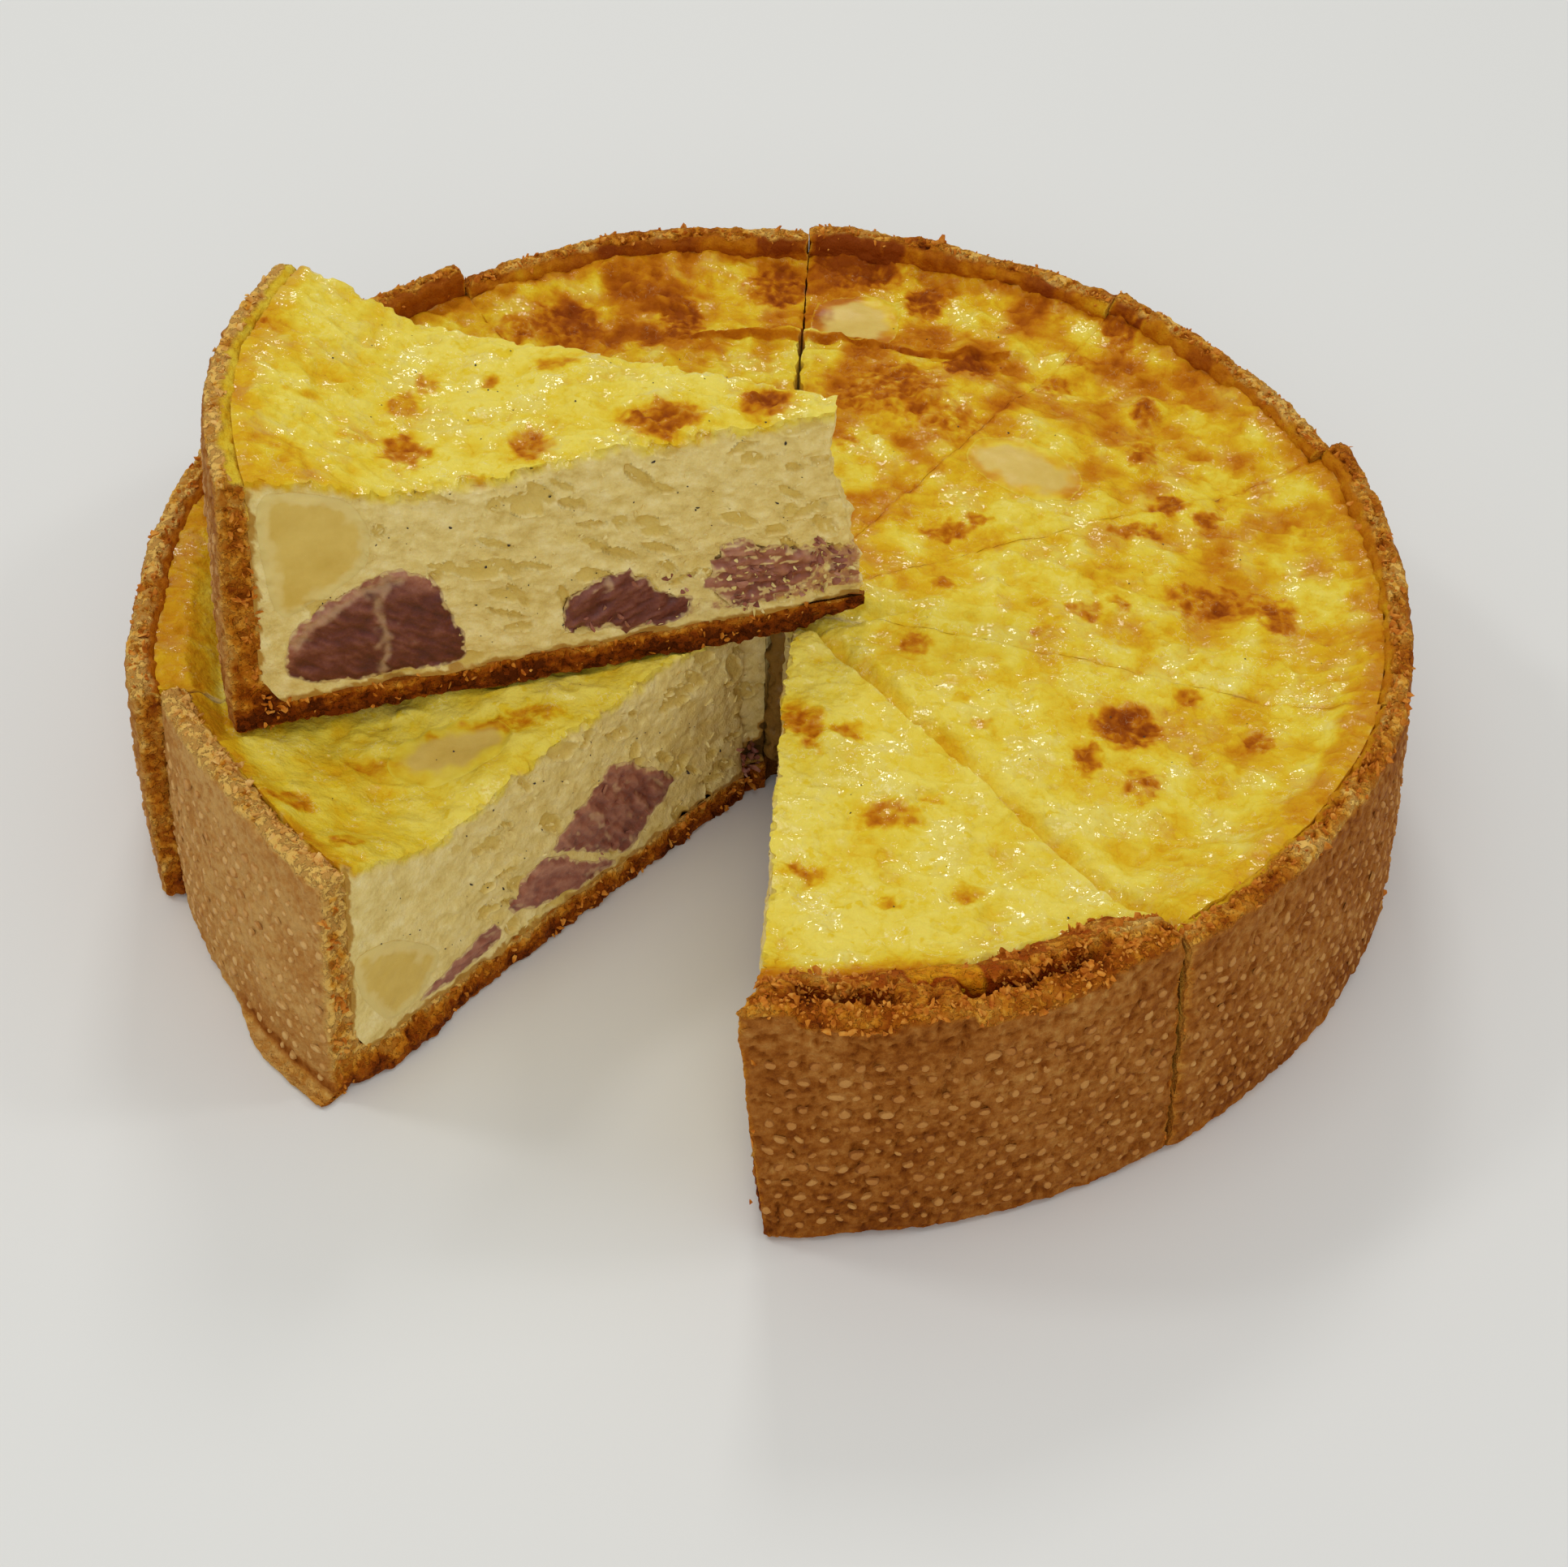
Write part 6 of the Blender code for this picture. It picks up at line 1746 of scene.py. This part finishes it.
OPEN_FACES = {"ja": (LEFT_FACE, LEFT_FACE_START), "lifted": (LIFTED_FACE, 0.0)}
POTATO_SLICE = {"potato_top_back": "fg", "potato_top_right": "ef", "potato_top_left": "ja"}
WEDGES = slice_wedges()
browned_top, oven_tone, fine_grain = browned_top_effect(), oven_tone_effect(), fine_grain_effect()
custard_material, crust_material, dot_material = custard_finish(), crust_finish(), dot_finish()
crumb_material, pepper_material = crumb_finish(), pepper_finish()
lump_materials = {"ham": ham_finish(), "potato": potato_finish()}

skins = {}
for label, wedge in WEDGES.items():
    custard_reliefs, crust_reliefs = face_reliefs(wedge)
    outlines = [potato_outline(TOP_POTATO[name], 1.5) for name, where in POTATO_SLICE.items() if where == label]
    keep(build_custard(wedge, custard_reliefs, [custard_material], outlines), "custard", "custard_" + label)
    crust, skins[label] = build_crust(wedge, crust_reliefs, [crust_material])
    keep(crust, "baked_crust", "crust_" + label)
for label, (faces, start) in OPEN_FACES.items():
    for name, piece in faces.items():
        kind = piece["kind"]
        keep(face_lump(name, piece, WEDGES[label], "e", start, lump_materials[kind]), kind, name)
for name, spec in TOP_POTATO.items():
    keep(top_potato(name, spec, lump_materials["potato"]), "potato", name)
keep(torn_middle(), "custard")

grain_tree = scatter_tree()
dome_shape, crumb_shape = shape_object("dot_shape", dome), shape_object("crumb_shape", broken_crumb)
scattered("wall_dots", "baked_crust", wall_dots(), dome_shape, dot_material, 1.0, 0.16, (0.06, 0.06, 0.25), 4)
scattered("rim_crumbs", "baked_crust", rim_crumbs(), crumb_shape, crumb_material, 0.65, 0.25, (1.0, 1.0, 1.0), 5)
scattered("pepper", "custard", pepper_specks(), crumb_shape, pepper_material, 0.34, 0.25, (0.3, 0.3, 0.3), 6)
CURD_PLACES = (("lifted", "e", 260, (4, 112), (8, 50), 0.1), ("lifted", "e", 90, (2, 40), (7, 28), 0.5),
               ("ja", "e", 240, (0, 84), (8, 48), 0.15), ("bc", "s", 60, (6, 110), (8, 48), 0.1),
               ("lifted", "s", 90, (6, 112), (8, 50), 0.1))
scattered("curd_bits", "custard", torn_bits(31, CURD_PLACES, (0.35, 0.9), 1.0), crumb_shape, custard_material,
          0.8, 0.25, (0.3, 0.3, 1.0), 7, "cut")
HAM_PLACES = (("lifted", "e", 70, (3, 30), (8.5, 22), 0.7), ("lifted", "e", 16, (38, 62), (9, 20), 0.4),
              ("ja", "e", 26, (0, 9), (6, 15), 0.8), ("ja", "e", 14, (34, 64), (12, 33), 0.3))
scattered("ham_shreds", "ham", torn_bits(32, HAM_PLACES, (0.5, 1.3)), crumb_shape, lump_materials["ham"],
          0.9, 0.25, (0.35, 0.35, 0.35), 8, "shade")
BASE_PLACES = (("ja", "e", 130, (4, 124), (0.6, 6.5), 0.7), ("lifted", "e", 110, (14, 126), (0.8, 6.5), 0.5),
               ("lifted", "e", 70, (124, 127.5), (8, 54), 0.1), ("ja", "e", 40, (119.5, 124), (6, 50), 0.1))
scattered("base_crumbs", "baked_crust", torn_bits(33, BASE_PLACES, (0.5, 1.3), 0.0), crumb_shape, crumb_material,
          0.75, 0.25, (1.0, 1.0, 1.0), 9)
for shape in (dome_shape, crumb_shape):
    bpy.data.objects.remove(shape)


# ---- floor, light and camera
def pale_floor():
    height, left, right, front, back = -0.0001, -4, 4, -3, 6
    mesh = bpy.data.meshes.new("floor")
    corners = ((left, front), (right, front), (right, back), (left, back))
    mesh.from_pydata([(x, y, height) for x, y in corners], [], [(0, 1, 2, 3)])
    floor = bpy.data.objects.new("floor", mesh)
    bpy.context.scene.collection.objects.link(floor)
    paint = bpy.data.materials.new("pale_floor")
    paint.use_nodes = True
    shader = paint.node_tree.nodes["Principled BSDF"]
    shader.inputs["Base Color"].default_value = (0.815, 0.82, 0.795, 1.0)
    shader.inputs["Roughness"].default_value = 0.6
    mesh.materials.append(paint)


def area_light(name, place, size, power, target):
    """A square lamp, sizes in metres and power in watts, turned to its target."""
    light = bpy.data.lights.new(name, "AREA")
    light.shape, light.size, light.energy = "SQUARE", size, power
    lamp = bpy.data.objects.new(name, light)
    lamp.location = place
    lamp.rotation_euler = (Vector(target) - Vector(place)).to_track_quat("-Z", "Y").to_euler()
    bpy.context.scene.collection.objects.link(lamp)


def photo_camera():
    """The photograph's view: 43.4 degrees down, 0.68 m away, rolled by 1.5 degrees."""
    down, roll = math.radians(43.431), math.radians(1.506)
    eye, focal_pixels, picture_pixels, sensor = np.array((1.879, -500.723, 468.042)), 3870.0, 1932.0, 36.0
    forward = np.array((0.0, math.cos(down), -math.sin(down)))
    right = np.array((1.0, 0.0, 0.0))
    up = np.cross(right, forward)
    right, up = math.cos(roll) * right + math.sin(roll) * up, -math.sin(roll) * right + math.cos(roll) * up
    camera = bpy.data.cameras.new("camera")
    camera.sensor_width, camera.sensor_fit = sensor, "HORIZONTAL"
    camera.lens = focal_pixels / picture_pixels * sensor
    camera.clip_start = 0.01
    holder = bpy.data.objects.new("camera", camera)
    place = (eye + SHIFT) * MM
    holder.matrix_world = Matrix([[right[k], up[k], -forward[k], place[k]] for k in range(3)] + [[0, 0, 0, 1]])
    bpy.context.scene.collection.objects.link(holder)
    bpy.context.scene.camera = holder


pale_floor()
world = bpy.data.worlds.new("studio")
world.use_nodes = True
world.node_tree.nodes["Background"].inputs["Color"].default_value = (1.0, 0.99, 0.97, 1.0)
world.node_tree.nodes["Background"].inputs["Strength"].default_value = 0.5
bpy.context.scene.world = world
for lamp in (("overhead", (-0.2, -0.2, 1.4), 0.7, 2.0, (0.0, 0.0, 0.03)),
             ("front_window", (0.1, -1.3, 0.9), 0.6, 3.3, (0.0, -0.1, 0.0)),
             ("left_window", (-0.95, 0.2, 1.15), 0.2, 2.0, (0.0, 0.0, 0.03)),
             ("right_window", (1.1, 0.1, 1.1), 0.2, 1.6, (0.0, 0.0, 0.03)),
             ("back_window", (-0.08, 1.15, 1.2), 0.3, 3.5, (0.0, 0.0, 0.03))):
    area_light(*lamp)
bpy.context.scene.view_settings.view_transform = "Standard"
photo_camera()
